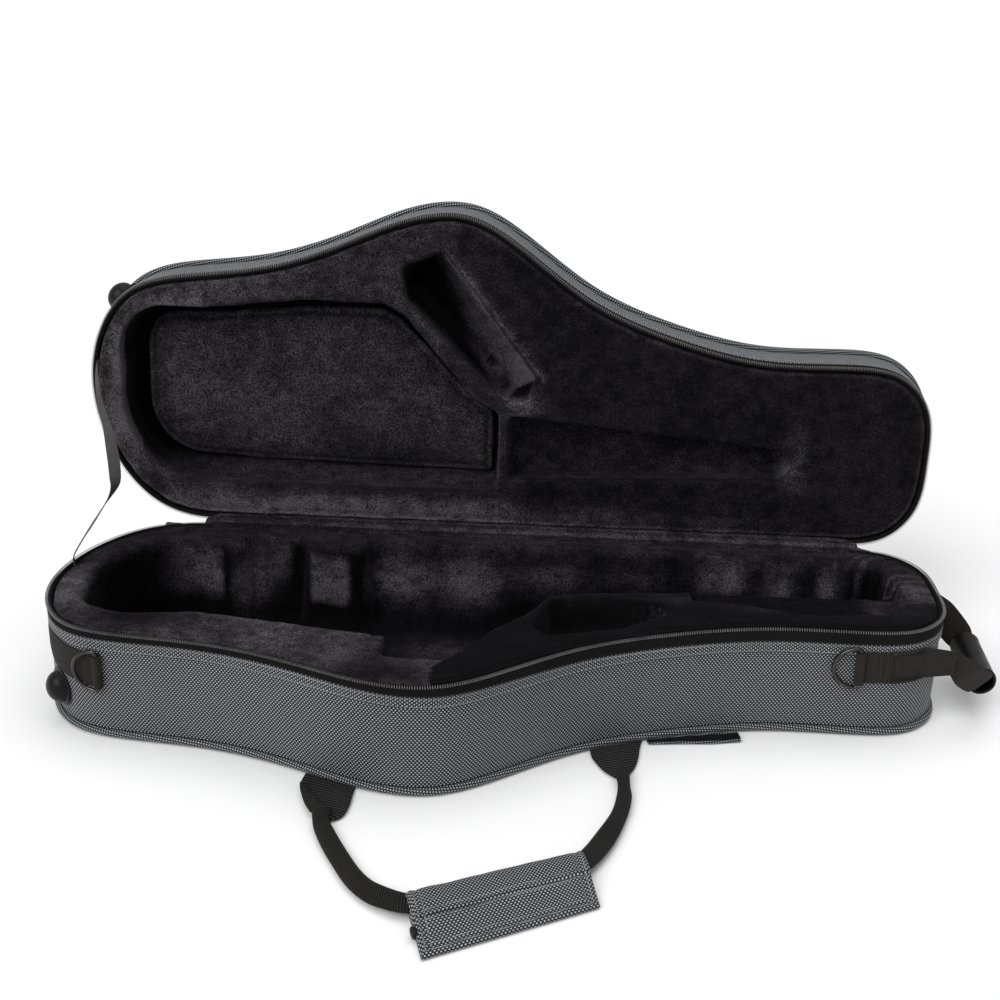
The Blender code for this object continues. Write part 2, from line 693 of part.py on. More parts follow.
def make_wall_band(name, shares, thickness, drop=0.0, lug=None):
    """Webbing flat on the base's wall, sinking by drop over its last quarter; with a lug it
    leaves the wall for that point."""
    lengths = stretch(min(shares), max(shares))
    if shares[0] > shares[1]:
        lengths = lengths[::-1]
    rings = []
    for share in lengths / OUTLINE_RUN:
        part = (share - shares[0]) / (shares[1] - shares[0])
        sink = drop * max(0.0, part - 0.75) / 0.25
        point, away, along = wall_frame(share, BAND_HEIGHT - sink)
        middle = point + away * (SEAT_GAP + thickness / 2)
        rings.append(section(middle, Vector((0.0, 0.0, WEBBING_WIDTH / 2)), away * thickness / 2))
    if lug:
        away = Vector((0.0, math.copysign(1.0, away.y), 0.0))
        middle = lug + away * (GRAB_STRAP_THICKNESS / 2 + SEAT_GAP + thickness / 2)
        rings.append(section(middle, Vector((0.0, 0.0, GRAB_ROOT_WIDTH / 2)), away * thickness / 2))
    return loft(name, rings, webbing)


def make_keeper(name, share, height, lay):
    """Webbing folded round a D-ring's bar, its tail flat on the wall; lay is +1 or -1 for
    the way the tail runs along the wall."""
    point, away, along = wall_frame(share, height)
    inner = RING_WIRE + RING_PLAY
    outer = inner + KEEPER_WALL
    centre = point + away * (SEAT_GAP + outer)
    eye = [(math.cos(a) * inner, math.sin(a) * inner)
           for a in np.linspace(0.0, math.tau, 10, endpoint=False)]
    shell = [(math.cos(a) * outer, math.sin(a) * outer)
             for a in np.linspace(math.radians(270.0), math.radians(-25.0), 13)]
    top = -outer + WEBBING_THICKNESS
    shell += [(outer * 1.3, top), (KEEPER_TAIL, top), (KEEPER_TAIL, -outer)]
    obj = add_object(name, flat_curve(name, [shell, eye], WEBBING_WIDTH), webbing)
    side = along * lay
    frame = Matrix((side, away, side.cross(away))).transposed().to_4x4()
    obj.matrix_world = Matrix.Translation(centre) @ frame
    return centre, along


def make_d_ring(name, centre, side):
    """Wire ring with a straight bar in its keeper, its bow folded back along the wall."""
    pivot = add_pivot(name + "_pivot", centre)
    half = RING_BAR_LENGTH / 2
    corner = RING_WIRE * 2
    points = [Vector((0.0, 0.0, z)) for z in np.linspace(-half + corner, half - corner, 3)]
    for angle in np.linspace(math.radians(90.0), math.radians(-90.0), 13):
        reach = corner / 2 + (RING_REACH - corner / 2) * math.cos(angle)
        points.append(-side * reach + Vector((0.0, 0.0, half * math.sin(angle))))
    return add_object(name, tube_curve(name, points, RING_WIRE, 1, cyclic=True), nickel, pivot)


# Rubber feet on the bell end

def make_foot(name, tray, share):
    profile = [(0.0, FOOT_HEIGHT)]
    for angle in np.linspace(math.radians(75.0), math.radians(10.0), 5):
        profile.append((FOOT_DOME_RADIUS * math.cos(angle),
                        FOOT_FLANGE_THICKNESS + (FOOT_HEIGHT - FOOT_FLANGE_THICKNESS) * math.sin(angle)))
    profile += [(FOOT_DOME_RADIUS, FOOT_FLANGE_THICKNESS),
                (FOOT_FLANGE_RADIUS, FOOT_FLANGE_THICKNESS * 0.6), (FOOT_FLANGE_RADIUS, 0.0), (0.0, 0.0)]
    bm = bmesh.new()
    verts = [bm.verts.new((r, 0.0, z)) for r, z in profile]
    for pair in zip(verts, verts[1:]):
        bm.edges.new(pair)
    mesh = bpy.data.meshes.new(name)
    bm.to_mesh(mesh)
    bm.free()
    obj = add_object(name, mesh, rubber, tray.parent)
    screw = obj.modifiers.new("turn", "SCREW")
    screw.steps = screw.render_steps = 18
    screw.use_merge_vertices = True
    screw.merge_threshold = WELD
    screw.use_normal_calculate = True
    screw.use_normal_flip = True
    run = np.array([share * OUTLINE_RUN])
    depth = tray.height - (BASE_FOOT_LIFT if tray is BASE else LID_FOOT_LIFT)
    (x, d), = outline_at(run, -WALL_INSET + tray.lean(depth) + SEAT_GAP)
    (xo, do), = outline_at(run, 0.0)
    (xi, di), = outline_at(run, -WALL_INSET)
    away = Vector((xo - xi, di - do, tray.side * -tray.flare / tray.height * WALL_INSET)).normalized()
    obj.rotation_mode = "QUATERNION"
    obj.rotation_quaternion = away.to_track_quat("Z", "Y")
    obj.location = tray.place(x, d, depth)
    return obj


# Carrying handle, at rest on the floor

def from_shares(pair):
    return np.array((pair[0] * HALF_LENGTH, pair[1] * DEPTH))


def smooth_run(points, step):
    """A smooth open run through hand-placed points, resampled at an even step."""
    points = [np.array(p) for p in points]
    points = [2 * points[0] - points[1]] + points + [2 * points[-1] - points[-2]]
    fine = []
    for a, b, c, e in zip(points, points[1:], points[2:], points[3:]):
        for t in np.linspace(0.0, 1.0, 10, endpoint=False):
            fine.append(0.5 * ((2 * b) + (c - a) * t + (2 * a - 5 * b + 4 * c - e) * t * t
                               + (3 * b - a - 3 * c + e) * t ** 3))
    fine = np.array(fine + [points[-2]])
    steps = np.linalg.norm(np.diff(fine, axis=0), axis=1)
    lengths = np.concatenate([[0.0], np.cumsum(steps)])
    count = max(2, int(round(lengths[-1] / step)))
    return at_run(fine, lengths, np.linspace(0.0, lengths[-1], count + 1))


def make_tab(name, tray, shares, end_shares, strap_shares, lift, inwards):
    """Wide webbing sewn into the edge seam, folding in to the width and line of the strap."""
    lengths = np.linspace(*shares, 3) * OUTLINE_RUN
    inset = tray.flare - 2 * PIPING_RADIUS - PANEL_EDGE
    start = outline_at(lengths, inset if inwards else 2 * SEAT_GAP)
    end = from_shares(end_shares)
    first, last = start[0], start[-1]
    seam_line = (last - first) / np.hypot(*(last - first))
    strap_line = from_shares(strap_shares) - end
    strap_line /= np.hypot(*strap_line)
    square = np.array((strap_line[1], -strap_line[0]))
    square *= np.sign(square @ seam_line)
    rings = []
    for t in (0.0, 0.35, 0.7, 1.0):
        across = seam_line * (1 - t) + square * t
        across /= np.hypot(*across)
        middle = (first + last) / 2 * (1 - t) + end * t
        half = (np.hypot(*(last - first)) * (1 - t ** 3) + STRAP_WIDTH * t ** 3) / 2
        thick = WEBBING_THICKNESS * (1 - t) + STRAP_THICKNESS * 0.5 * t
        low = middle - across * half
        high = middle + across * half
        level = lift + (thick - WEBBING_THICKNESS) / 2
        outer = tray.height - level * (1 if tray is BASE else -1)
        corners = ((low, -1), (high, -1), (high, 1), (low, 1))
        rings.append([tray.place(*point, outer - face * thick / 2) for point, face in corners])
    return loft(name, rings, webbing, tray.parent)


handle_pivot_left = from_shares(STRAP_LEFT_SHARES[0])
handle_pivot_right = from_shares(STRAP_RIGHT_SHARES[-1])


def strap_rings(route, start):
    """Sections of a strap, whose two ends are cut along the line that joins them."""
    axis = (route[-1] - route[0]) / np.linalg.norm(route[-1] - route[0])
    rings = []
    for i, place in enumerate(route):
        ahead = route[min(i + 1, len(route) - 1)] - route[max(i - 1, 0)]
        sideways = Vector((-ahead[1], ahead[0], 0.0)).normalized()
        if i in (0, len(route) - 1):
            slant = Vector(axis)
            sideways = slant / slant.dot(sideways)
        rings.append(section(Vector(place) - start, sideways * STRAP_WIDTH / 2,
                             Vector((0.0, 0.0, STRAP_THICKNESS / 2))))
    return rings


def make_handle():
    """Strap, wrapped grip and snap; all swing about the line between the tabs' ends."""
    left = Vector((handle_pivot_left[0], HINGE_Y - handle_pivot_left[1], STRAP_LAP_LIFT))
    pivot = add_pivot("handle_pivot", left)
    grip_middle = from_shares(GRIP_MIDDLE_SHARES)
    along = np.array((math.cos(GRIP_ANGLE), -math.sin(GRIP_ANGLE)))
    across = np.array((math.sin(GRIP_ANGLE), math.cos(GRIP_ANGLE)))
    strap_line = grip_middle - across * GRIP_STRAP_SHARE * GRIP_WIDTH
    straight = [strap_line + along * GRIP_LENGTH * s for s in (-0.58, -0.5, -0.25, 0.0, 0.25, 0.5, 0.58)]
    inside = GRIP_LIFT + GRIP_SKIN + SEAT_GAP + STRAP_THICKNESS / 2
    lap = [STRAP_LAP_LIFT] * 2
    lift = (lap + [STRAP_LIFT] * (len(STRAP_LEFT_SHARES) - 2) + [inside] * len(straight)
            + [STRAP_LIFT] * (len(STRAP_RIGHT_SHARES) - 2) + lap)
    plan = [from_shares(p) for p in STRAP_LEFT_SHARES] + straight
    plan += [from_shares(p) for p in STRAP_RIGHT_SHARES]
    route = smooth_run([(x, HINGE_Y - d, z) for (x, d), z in zip(plan, lift)], STRAP_WIDTH * 0.55)
    strap = loft("handle_strap", strap_rings(route, left), webbing, pivot)
    round_edges(strap, STRAP_THICKNESS * 0.25)

    thin, thick = GRIP_EDGE_THICKNESS, GRIP_THICKNESS
    half = GRIP_WIDTH / 2
    outline = [(-half, thick * 0.5), (-half * 0.94, thick * 0.86), (-half * 0.72, thick),
               (-half * 0.3, thick * 0.97), (half * 0.3, (thick + thin) / 2), (half * 0.94, thin),
               (half, thin * 0.6), (half, 0.0), (-half * 0.86, 0.0), (-half * 0.97, thick * 0.16)]
    slot_x = -GRIP_STRAP_SHARE * GRIP_WIDTH
    slot_w = STRAP_WIDTH / 2 + SEAT_GAP * 2
    slot_low, slot_high = GRIP_SKIN, GRIP_SKIN + STRAP_THICKNESS + SEAT_GAP * 2
    slot = [(slot_x - slot_w, slot_low), (slot_x + slot_w, slot_low),
            (slot_x + slot_w, slot_high), (slot_x - slot_w, slot_high)]
    sleeve = flat_curve("handle_grip", [outline, slot], GRIP_LENGTH)
    grip = add_object("handle_grip", sleeve, weave, pivot)
    middle = Vector((grip_middle[0], HINGE_Y - grip_middle[1], GRIP_LIFT)) - left
    out = Vector((across[0], -across[1], 0.0))
    axis = Vector((along[0], -along[1], 0.0))
    up = Vector((0.0, 0.0, 1.0))
    frame = Matrix((out, up, out.cross(up))).transposed().to_4x4()
    grip.matrix_local = Matrix.Translation(middle) @ frame

    snap_mesh = bmesh.new()
    bmesh.ops.create_cone(snap_mesh, cap_ends=True, segments=12, radius1=SNAP_RADIUS,
                          radius2=SNAP_RADIUS * 0.8, depth=SNAP_THICKNESS)
    snap = add_object("handle_snap", mesh_from("handle_snap", snap_mesh), rubber, pivot)
    reach = GRIP_LENGTH / 2 + SEAT_GAP + SNAP_THICKNESS / 2
    snap.matrix_local = (Matrix.Translation(middle - axis * reach + out * half * 0.55
                                            + Vector((0.0, 0.0, thin * 0.55)))
                         @ frame @ Matrix.Scale(0.5, 4, Vector((0.0, 1.0, 0.0))))
    return pivot


def make_lid_handle():
    """Plain webbing loop on the lid's outer face, hanging plumb from its two tabs."""
    level = LID_HEIGHT + STRAP_LAP_LIFT
    first = from_shares(LID_STRAP_SHARES[0])
    start = Vector((first[0], -first[1], level))
    pivot = add_pivot("lid_handle_pivot", start, lid_hinge)
    route = smooth_run([(x * HALF_LENGTH, -d * DEPTH, level) for x, d in LID_STRAP_SHARES], STRAP_WIDTH)
    axis = Vector(route[-1] - route[0]).normalized()
    arm = Vector(route.mean(axis=0)) - start
    down = Matrix.Rotation(LID_OPEN_ANGLE, 3, "X") @ Vector((0.0, 0.0, -1.0))
    arm, down = arm - axis * arm.dot(axis), down - axis * down.dot(axis)
    pivot.rotation_mode = "QUATERNION"
    pivot.rotation_quaternion = Quaternion(axis, math.atan2(axis.dot(arm.cross(down)), arm.dot(down)))
    strap = loft("lid_handle_strap", strap_rings(route, start), webbing, pivot)
    round_edges(strap, STRAP_THICKNESS * 0.25)


# Grab handle on the mouthpiece end

def make_grab_handle():
    """Webbing loop with a rubber tube; it swings about the line between its anchors."""
    axis_point = Vector((GRAB_PIVOT_X, HINGE_Y - GRAB_MIDDLE, BAND_HEIGHT))
    pivot = add_pivot("grab_handle_pivot", axis_point)
    half = GRAB_SPAN / 2
    tube_half = GRAB_TUBE_LENGTH / 2
    out = Vector((GRAB_REACH, 0.0, -GRAB_DROP))
    face = out.normalized()
    side = [(0.0, -half), (0.45, -half * 0.93), (0.86, -half * 0.72), (1.0, -tube_half),
            (1.0, tube_half), (0.86, half * 0.72), (0.45, half * 0.93), (0.0, half)]
    route = [out * reach + Vector((0.0, y, 0.0)) for reach, y in side]
    rings = []
    widths = [GRAB_ROOT_WIDTH, GRAB_STRAP_WIDTH, GRAB_STRAP_WIDTH * 1.2, GRAB_STRAP_WIDTH]
    widths += widths[::-1]
    rise = face.cross(Vector((0.0, 1.0, 0.0)))
    for i, place in enumerate(route):
        ahead = (route[min(i + 1, len(route) - 1)] - route[max(i - 1, 0)]).normalized()
        through = ahead.cross(rise).normalized()
        rings.append(section(place, rise * widths[i] / 2, through * GRAB_STRAP_THICKNESS / 2))
    loft("grab_handle_strap", rings, webbing, pivot)
    outer = [(GRAB_TUBE_RADIUS * math.cos(a), GRAB_TUBE_RADIUS * math.sin(a))
             for a in np.linspace(0.0, math.tau, 18, endpoint=False)]
    slot_x = GRAB_STRAP_THICKNESS / 2 + SEAT_GAP * 2
    slot_y = GRAB_STRAP_WIDTH / 2 + SEAT_GAP * 2
    slot = [(-slot_x, -slot_y), (slot_x, -slot_y), (slot_x, slot_y), (-slot_x, slot_y)]
    tube = add_object("grab_handle_grip", flat_curve("grab_handle_grip", [outer, slot], GRAB_TUBE_LENGTH),
                      rubber, pivot)
    frame = Matrix((face, rise, face.cross(rise))).transposed().to_4x4()
    tube.matrix_local = Matrix.Translation(out) @ frame


# Zipper sliders and their pulls

def make_slider(name, share):
    run = np.array([share * OUTLINE_RUN])
    (x, d), = outline_at(run, -COIL_INSET + ZIP_COIL_REACH + SEAT_GAP + SLIDER_THICKNESS / 2)
    point, away, along = wall_frame(share, 0.0)
    middle = Vector((x, HINGE_Y - d, BASE_HEIGHT - SLIDER_HEIGHT * 0.65))
    up = Vector((0.0, 0.0, 1.0))
    frame = Matrix((away.cross(up), away, up)).transposed().to_4x4()
    bm = bmesh.new()
    bmesh.ops.create_cube(bm, size=1.0)
    bmesh.ops.scale(bm, vec=(SLIDER_LENGTH, SLIDER_THICKNESS, SLIDER_HEIGHT), verts=bm.verts)
    for vert in bm.verts:
        if vert.co.x > 0.0:
            vert.co.z *= 0.6
    slider = add_object("slider_" + name, mesh_from("slider_" + name, bm), nickel)
    slider.matrix_world = Matrix.Translation(middle) @ frame
    round_edges(slider, SLIDER_THICKNESS * 0.2)

    hang = middle + away * (SLIDER_THICKNESS / 2 + SEAT_GAP + PULL_THICKNESS / 2)
    pivot = add_pivot("pull_" + name + "_pivot", hang)
    half = PULL_WIDTH / 2
    low = -PULL_LENGTH
    top = PULL_THICKNESS * 0.4
    plate = [(-half * 0.55, top), (half * 0.55, top), (half, low * 0.35),
             (half, low + half * 0.5), (half * 0.6, low), (-half * 0.6, low), (-half, low + half * 0.5),
             (-half, low * 0.35)]
    eye = [(PULL_EYE * math.cos(a), low + half + PULL_EYE * math.sin(a))
           for a in np.linspace(0.0, math.tau, 8, endpoint=False)]
    tag = flat_curve("pull_" + name, [plate, eye], PULL_THICKNESS)
    pull = add_object("pull_" + name, tag, nickel, pivot)
    pull.matrix_local = Matrix((up.cross(away), up, away)).transposed().to_4x4()


# Stay strap between the rims, and the fabric tab at the front edge

def make_stay_strap():
    """Ribbon from the base's rim to the lid's, standing on both and slack between them."""
    middle = -WALL_INSET - WALL_THICKNESS / 2
    ends = []
    for tray, share in ((BASE, STAY_BASE_SHARE), (LID, STAY_LID_SHARE)):
        run = np.array([share * OUTLINE_RUN])
        (x, d), = outline_at(run, middle)
        (xa, da), = outline_at(run + STAY_WIDTH / 2, middle)
        place = tray.place(x, d, RIM_GAP - SEAT_GAP)
        ends.append((place, tray.place(xa, da, 0.0) - tray.place(x, d, 0.0),
                     Vector((0.0, 0.0, -tray.side)) * STAY_WIDTH * 0.6))
    swing = Matrix.Translation(lid_hinge.location) @ Matrix.Rotation(-LID_OPEN_ANGLE, 4, "X")
    (low, low_across, up), (high, high_across, down) = ends
    high, high_across, down = swing @ high, swing.to_3x3() @ high_across, swing.to_3x3() @ down
    slack = Vector((0.0, -STAY_WIDTH * 0.3, 0.0))
    route = smooth_run([low, low + up, (low + high) / 2 + slack, high + down, high], STAY_WIDTH * 0.7)
    rings = []
    for i, place in enumerate(route):
        t = i / (len(route) - 1)
        ahead = Vector(route[min(i + 1, len(route) - 1)] - route[max(i - 1, 0)]).normalized()
        if i == 0:
            ahead = up.normalized()
        if i == len(route) - 1:
            ahead = -down.normalized()
        across = low_across * (1 - t) + high_across * t
        across = (across - ahead * across.dot(ahead)).normalized()
        through = ahead.cross(across) * STAY_THICKNESS / 2
        rings.append(section(Vector(place), across * STAY_WIDTH / 2, through))
    return loft("stay_strap", rings, ribbon_cloth)


def make_flap():
    """Fabric tab sewn into the front edge seam."""
    lengths = stretch(*FLAP_SHARES)
    near = FLAP_PIVOT_GAP
    first, last = outline_at(lengths[[0, -1]], near)
    place = Vector((first[0], HINGE_Y - first[1], TAB_FLAP_THICKNESS / 2 + TAB_LIFT / 2))
    pivot = add_pivot("edge_flap_pivot", place)
    inner = outline_at(lengths, near)
    outer = outline_at(lengths, near + TAB_FLAP_REACH)
    loop = [(x - first[0], first[1] - d) for x, d in list(inner) + list(outer[::-1])]
    add_object("edge_flap", flat_curve("edge_flap", [loop], TAB_FLAP_THICKNESS), weave, pivot)


make_panel(BASE, "base_bottom_panel")
make_panel(LID, "lid_top_panel")
for tray in (BASE, LID):
    make_side_wall(tray)
    make_piping(tray)
    make_zipper_half(tray)
    make_hem_band(tray)
    make_hinge_tape(tray)
bell_cut = BELL_JOINT_SHARE * HALF_LENGTH
end_cut = END_JOINT_SHARE * HALF_LENGTH
ridge_cut = RIDGE_JOINT_SHARE * HALF_LENGTH
well_middle = WELL_SHARE * DEPTH
neck_line = [from_shares(pair) for pair in NECK_LINE_SHARES]
neck_slope = (neck_line[1] - neck_line[0]) / (neck_line[1] - neck_line[0])[0]
neck_crossing = neck_line[0] + neck_slope * (ridge_cut - neck_line[0][0])
neck_outside = neck_line[0] - neck_slope * DEPTH


def beyond_neck(x, d):
    """Whether a point of the plan is on the mouthpiece's side of the neck pocket."""
    (x0, d0), (x1, d1) = neck_line
    return ((x1 - x0) * (d - d0) - (d1 - d0) * (x - x0) > 0.0) | (x > ridge_cut)


make_foam(BASE, TROUGH_DEPTH, [
    (TROUGH_SHARES, (TROUGH_DEPTH, POCKET_LIP, POCKET_LEAN)),
], [
    (NOTCH_SHARES, (NOTCH_DEPTH, NARROW_LIP, POCKET_LEAN, POCKET_LIP)),
    (SHELF_SHARES, (SHELF_DEPTH, NARROW_LIP, POCKET_LEAN, POCKET_LIP)),
    (OVAL_SHARES, (OVAL_DEPTH, NARROW_LIP, POCKET_LEAN, POCKET_LIP)),
], [
    ((bell_cut, -DEPTH), (bell_cut, 2 * DEPTH)),
    ((end_cut, -DEPTH), (end_cut, 2 * DEPTH)),
], [
    ("base_bell_foam", lambda x, d: x < bell_cut),
    ("base_hinge_foam", lambda x, d: (x > bell_cut) & (x < end_cut) & (d < well_middle)),
    ("base_front_foam", lambda x, d: (x > bell_cut) & (x < end_cut) & (d > well_middle)),
    ("base_end_foam", lambda x, d: x > end_cut),
])
make_foam(LID, LID_RECESS_DEPTH, [
    (RECESS_SHARES, (LID_RECESS_DEPTH, NARROW_LIP, RECESS_LEAN)),
    (NECK_POCKET_SHARES, (LID_RECESS_DEPTH, NARROW_LIP, POCKET_LEAN)),
], [
    (SLOT_SHARES, (SLOT_DEPTH, NARROW_LIP, POCKET_LEAN, POCKET_LIP)),
], [
    ((bell_cut, -DEPTH), (bell_cut, 2 * DEPTH)),
    ((ridge_cut, -DEPTH), neck_crossing),
    (neck_outside, neck_crossing),
], [
    ("lid_bell_foam", lambda x, d: x < bell_cut),
    ("lid_hinge_foam", lambda x, d: (x > bell_cut) & (x < ridge_cut) & (d < well_middle)),
    ("lid_front_foam", lambda x, d: (x > bell_cut) & (d > well_middle) & ~beyond_neck(x, d)),
    ("lid_end_foam", lambda x, d: (x > bell_cut) & beyond_neck(x, d)),
])
make_bell_pad()

tail = (KEEPER_TAIL + SEAT_GAP * 2) / OUTLINE_RUN
pleats = (RIGHT_RING_SHARE + tail, RIGHT_RING_SHARE + tail + PLEAT_SHARE)
grab_y = HINGE_Y - GRAB_MIDDLE
grab_ends = [Vector((GRAB_PIVOT_X, grab_y + side * GRAB_SPAN / 2, BAND_HEIGHT)) for side in (-1, 1)]
front_patch = (pleats[1] + SEAT_GAP / OUTLINE_RUN, FRONT_PATCH_SHARE)
make_wall_band("left_band", (LEFT_BAND_SHARE, LEFT_RING_SHARE - tail), WEBBING_THICKNESS, RING_DROP)
make_wall_band("pleated_tab", pleats, WEBBING_THICKNESS * 2)
make_wall_band("grab_patch_front", front_patch, WEBBING_THICKNESS, 0.0, grab_ends[0])
make_wall_band("grab_patch_rear", REAR_PATCH_SHARES, WEBBING_THICKNESS, 0.0, grab_ends[1])
rings = (("left", LEFT_RING_SHARE, -1, RING_DROP), ("right", RIGHT_RING_SHARE, 1, 0.0))
for end, share, lay, drop in rings:
    centre, along = make_keeper("ring_keeper_" + end, share, BAND_HEIGHT - drop, lay)
    make_d_ring("d_ring_" + end, centre, along)

for tray in (BASE, LID):
    for end, share in zip(("front", "rear"), FOOT_SHARES):
        make_foot(tray.name + "_foot_" + end, tray, share)

straps = (STRAP_LEFT_SHARES[2], STRAP_RIGHT_SHARES[-3])
for side_name, shares, ends, strap in zip(("left", "right"), TAB_SHARES, TAB_END_SHARES, straps):
    make_tab("handle_tab_" + side_name, BASE, shares, ends, strap, TAB_LIFT, False)
make_handle()
straps = (LID_STRAP_SHARES[2], LID_STRAP_SHARES[-3])
for side_name, shares, ends, strap in zip(("left", "right"), TAB_SHARES, LID_TAB_END_SHARES, straps):
    make_tab("lid_handle_tab_" + side_name, LID, shares, ends, strap, TAB_LIFT, True)
make_lid_handle()
make_grab_handle()
for end, share in zip(("left", "right"), SLIDER_SHARES):
    make_slider(end, share)
make_stay_strap()
make_flap()
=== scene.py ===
# Looks of the open, contoured alto saxophone case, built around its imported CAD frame.
# Metres, in the frame of the CAD model: X along the case, hinge at +Y, floor at Z 0.

import json
import math
import bmesh
import bpy
import mathutils
import numpy as np
from mathutils import Matrix, Vector, noise


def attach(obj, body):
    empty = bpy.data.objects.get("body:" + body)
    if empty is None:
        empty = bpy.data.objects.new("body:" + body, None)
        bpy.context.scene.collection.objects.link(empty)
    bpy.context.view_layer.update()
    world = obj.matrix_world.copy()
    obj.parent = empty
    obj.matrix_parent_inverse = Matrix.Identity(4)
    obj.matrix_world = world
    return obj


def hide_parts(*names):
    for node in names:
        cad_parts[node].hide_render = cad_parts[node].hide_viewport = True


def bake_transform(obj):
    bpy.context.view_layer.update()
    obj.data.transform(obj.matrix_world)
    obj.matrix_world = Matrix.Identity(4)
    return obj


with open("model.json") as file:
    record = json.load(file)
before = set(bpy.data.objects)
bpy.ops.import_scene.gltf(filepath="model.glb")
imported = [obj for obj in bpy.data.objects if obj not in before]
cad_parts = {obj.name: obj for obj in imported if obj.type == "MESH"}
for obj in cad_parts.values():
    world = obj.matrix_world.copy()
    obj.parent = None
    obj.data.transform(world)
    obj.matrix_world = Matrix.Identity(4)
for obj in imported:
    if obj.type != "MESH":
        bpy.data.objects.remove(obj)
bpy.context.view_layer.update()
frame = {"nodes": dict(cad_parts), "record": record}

# Sizes that the CAD model also has
HALF_LENGTH = 0.330
DEPTH = 0.250
BASE_HEIGHT = 0.0852
LID_HEIGHT = 0.0544
LID_FLARE = 0.004
LID_OPEN_ANGLE = math.radians(97.0)
WALL_INSET = 0.003
WALL_THICKNESS = 0.008
PANEL_THICKNESS = 0.006
PIPING_RADIUS = 0.0026
PIPING_LIFT = 0.0033
SEAT_GAP = 0.0003
LINER_DROP = 0.001
BAND_HEIGHT = 0.0565
RING_DROP = 0.003
WEBBING_WIDTH = 0.025
WEBBING_THICKNESS = 0.0016
HINGE_Y = DEPTH / 2
GRAB_PIVOT_X = 0.3340
GRAB_MIDDLE = 0.0775
GRAB_SPAN = 0.104

OUTLINE_SHARES = [
    (-0.706, 0.000), (-0.836, 0.040), (-0.945, 0.188), (-0.997, 0.388), (-0.988, 0.568),
    (-0.906, 0.736), (-0.758, 0.794), (-0.585, 0.824), (-0.388, 0.908), (-0.233, 0.988),
    (-0.100, 0.998), (0.024, 0.912), (0.194, 0.752), (0.400, 0.640), (0.606, 0.582),
    (0.800, 0.580), (0.930, 0.548), (0.992, 0.450), (1.003, 0.288), (0.983, 0.120),
    (0.916, 0.026), (0.820, 0.000),
]
TROUGH_SHARES = [
    (-0.918, 0.634, 0.190), (-0.600, 0.618, 0.200), (-0.233, 0.704, 0.240), (-0.050, 0.720, 0.080),
    (0.064, 0.552, 0.080), (0.118, 0.410, 0.070), (0.452, 0.346, 0.024), (0.462, 0.256, 0.024),
    (0.900, 0.244, 0.040), (0.900, 0.088, 0.120), (0.742, 0.084, 0.020), (0.724, 0.116, 0.020),
    (0.556, 0.116, 0.020), (0.538, 0.084, 0.020), (-0.310, 0.084, 0.020), (-0.325, 0.146, 0.020),
    (-0.454, 0.146, 0.020), (-0.470, 0.084, 0.020), (-0.604, 0.084, 0.020), (-0.624, 0.154, 0.024),
    (-0.830, 0.154, 0.100), (-0.914, 0.320, 0.160),
]
NOTCH_SHARES = [
    (-0.224, 0.600, 0.020), (-0.224, 0.828, 0.028), (-0.088, 0.838, 0.036), (0.012, 0.640, 0.036),
    (-0.020, 0.560, 0.020),
]
SHELF_SHARES = [
    (0.436, 0.180, 0.020), (0.436, 0.416, 0.024), (0.570, 0.436, 0.080), (0.720, 0.476, 0.080),
    (0.885, 0.446, 0.060), (0.918, 0.380, 0.050), (0.918, 0.200, 0.040),
]
OVAL_SHARES = [
    (0.086, 0.612, 0.040), (0.122, 0.448, 0.040), (0.240, 0.420, 0.080), (0.368, 0.440, 0.040),
    (0.386, 0.510, 0.040), (0.280, 0.604, 0.080), (0.118, 0.676, 0.036),
]
RECESS_SHARES = [
    (-0.924, 0.690, 0.190), (-0.720, 0.690, 0.160), (-0.500, 0.722, 0.160), (-0.296, 0.722, 0.040),
    (-0.240, 0.676, 0.040), (-0.085, 0.440, 0.030), (-0.018, 0.386, 0.016), (-0.018, 0.126, 0.030),
    (-0.924, 0.126, 0.300),
]
PAD_SHARES = [
    (-0.884, 0.664, 0.170), (-0.720, 0.664, 0.150), (-0.500, 0.692, 0.150), (-0.300, 0.692, 0.036),
    (-0.258, 0.660, 0.036), (-0.098, 0.436, 0.026), (-0.030, 0.378, 0.012), (-0.030, 0.166, 0.012),
    (-0.600, 0.176, 0.100), (-0.884, 0.196, 0.250),
]
NECK_POCKET_SHARES = [
    (-0.258, 0.836, 0.030), (-0.158, 0.892, 0.026), (0.068, 0.510, 0.026), (0.050, 0.430, 0.026),
    (-0.014, 0.428, 0.016), (-0.246, 0.736, 0.030),
]
SLOT_SHARES = [
    (0.002, 0.380, 0.012), (0.300, 0.346, 0.100), (0.656, 0.304, 0.036), (0.692, 0.256, 0.036),
    (0.656, 0.200, 0.036), (0.002, 0.168, 0.012),
]


# Camera, as it stood for the photograph

YAW, PITCH, ROLL = -0.04740, -0.40467, 0.02223
CAMERA_PLACE = (0.050268, -1.003681, 0.597359)
LENS_SHARE = 1.55            # focal length as a share of the frame's width
SENSOR = 36.0

ahead = Vector((math.sin(YAW) * math.cos(PITCH), math.cos(YAW) * math.cos(PITCH), math.sin(PITCH)))
right = Vector((math.cos(YAW), -math.sin(YAW), 0.0))
upright = right.cross(ahead)
right, upright = (right * math.cos(ROLL) + upright * math.sin(ROLL),
                  -right * math.sin(ROLL) + upright * math.cos(ROLL))
camera = bpy.data.objects.new("camera", bpy.data.cameras.new("camera"))
camera.data.sensor_width = SENSOR
camera.data.lens = SENSOR * LENS_SHARE
camera.data.clip_end = 20.0
turned = Matrix((right, upright, -ahead)).transposed().to_4x4()
camera.matrix_world = Matrix.Translation(CAMERA_PLACE) @ turned
bpy.context.scene.collection.objects.link(camera)
bpy.context.scene.camera = camera


# Materials

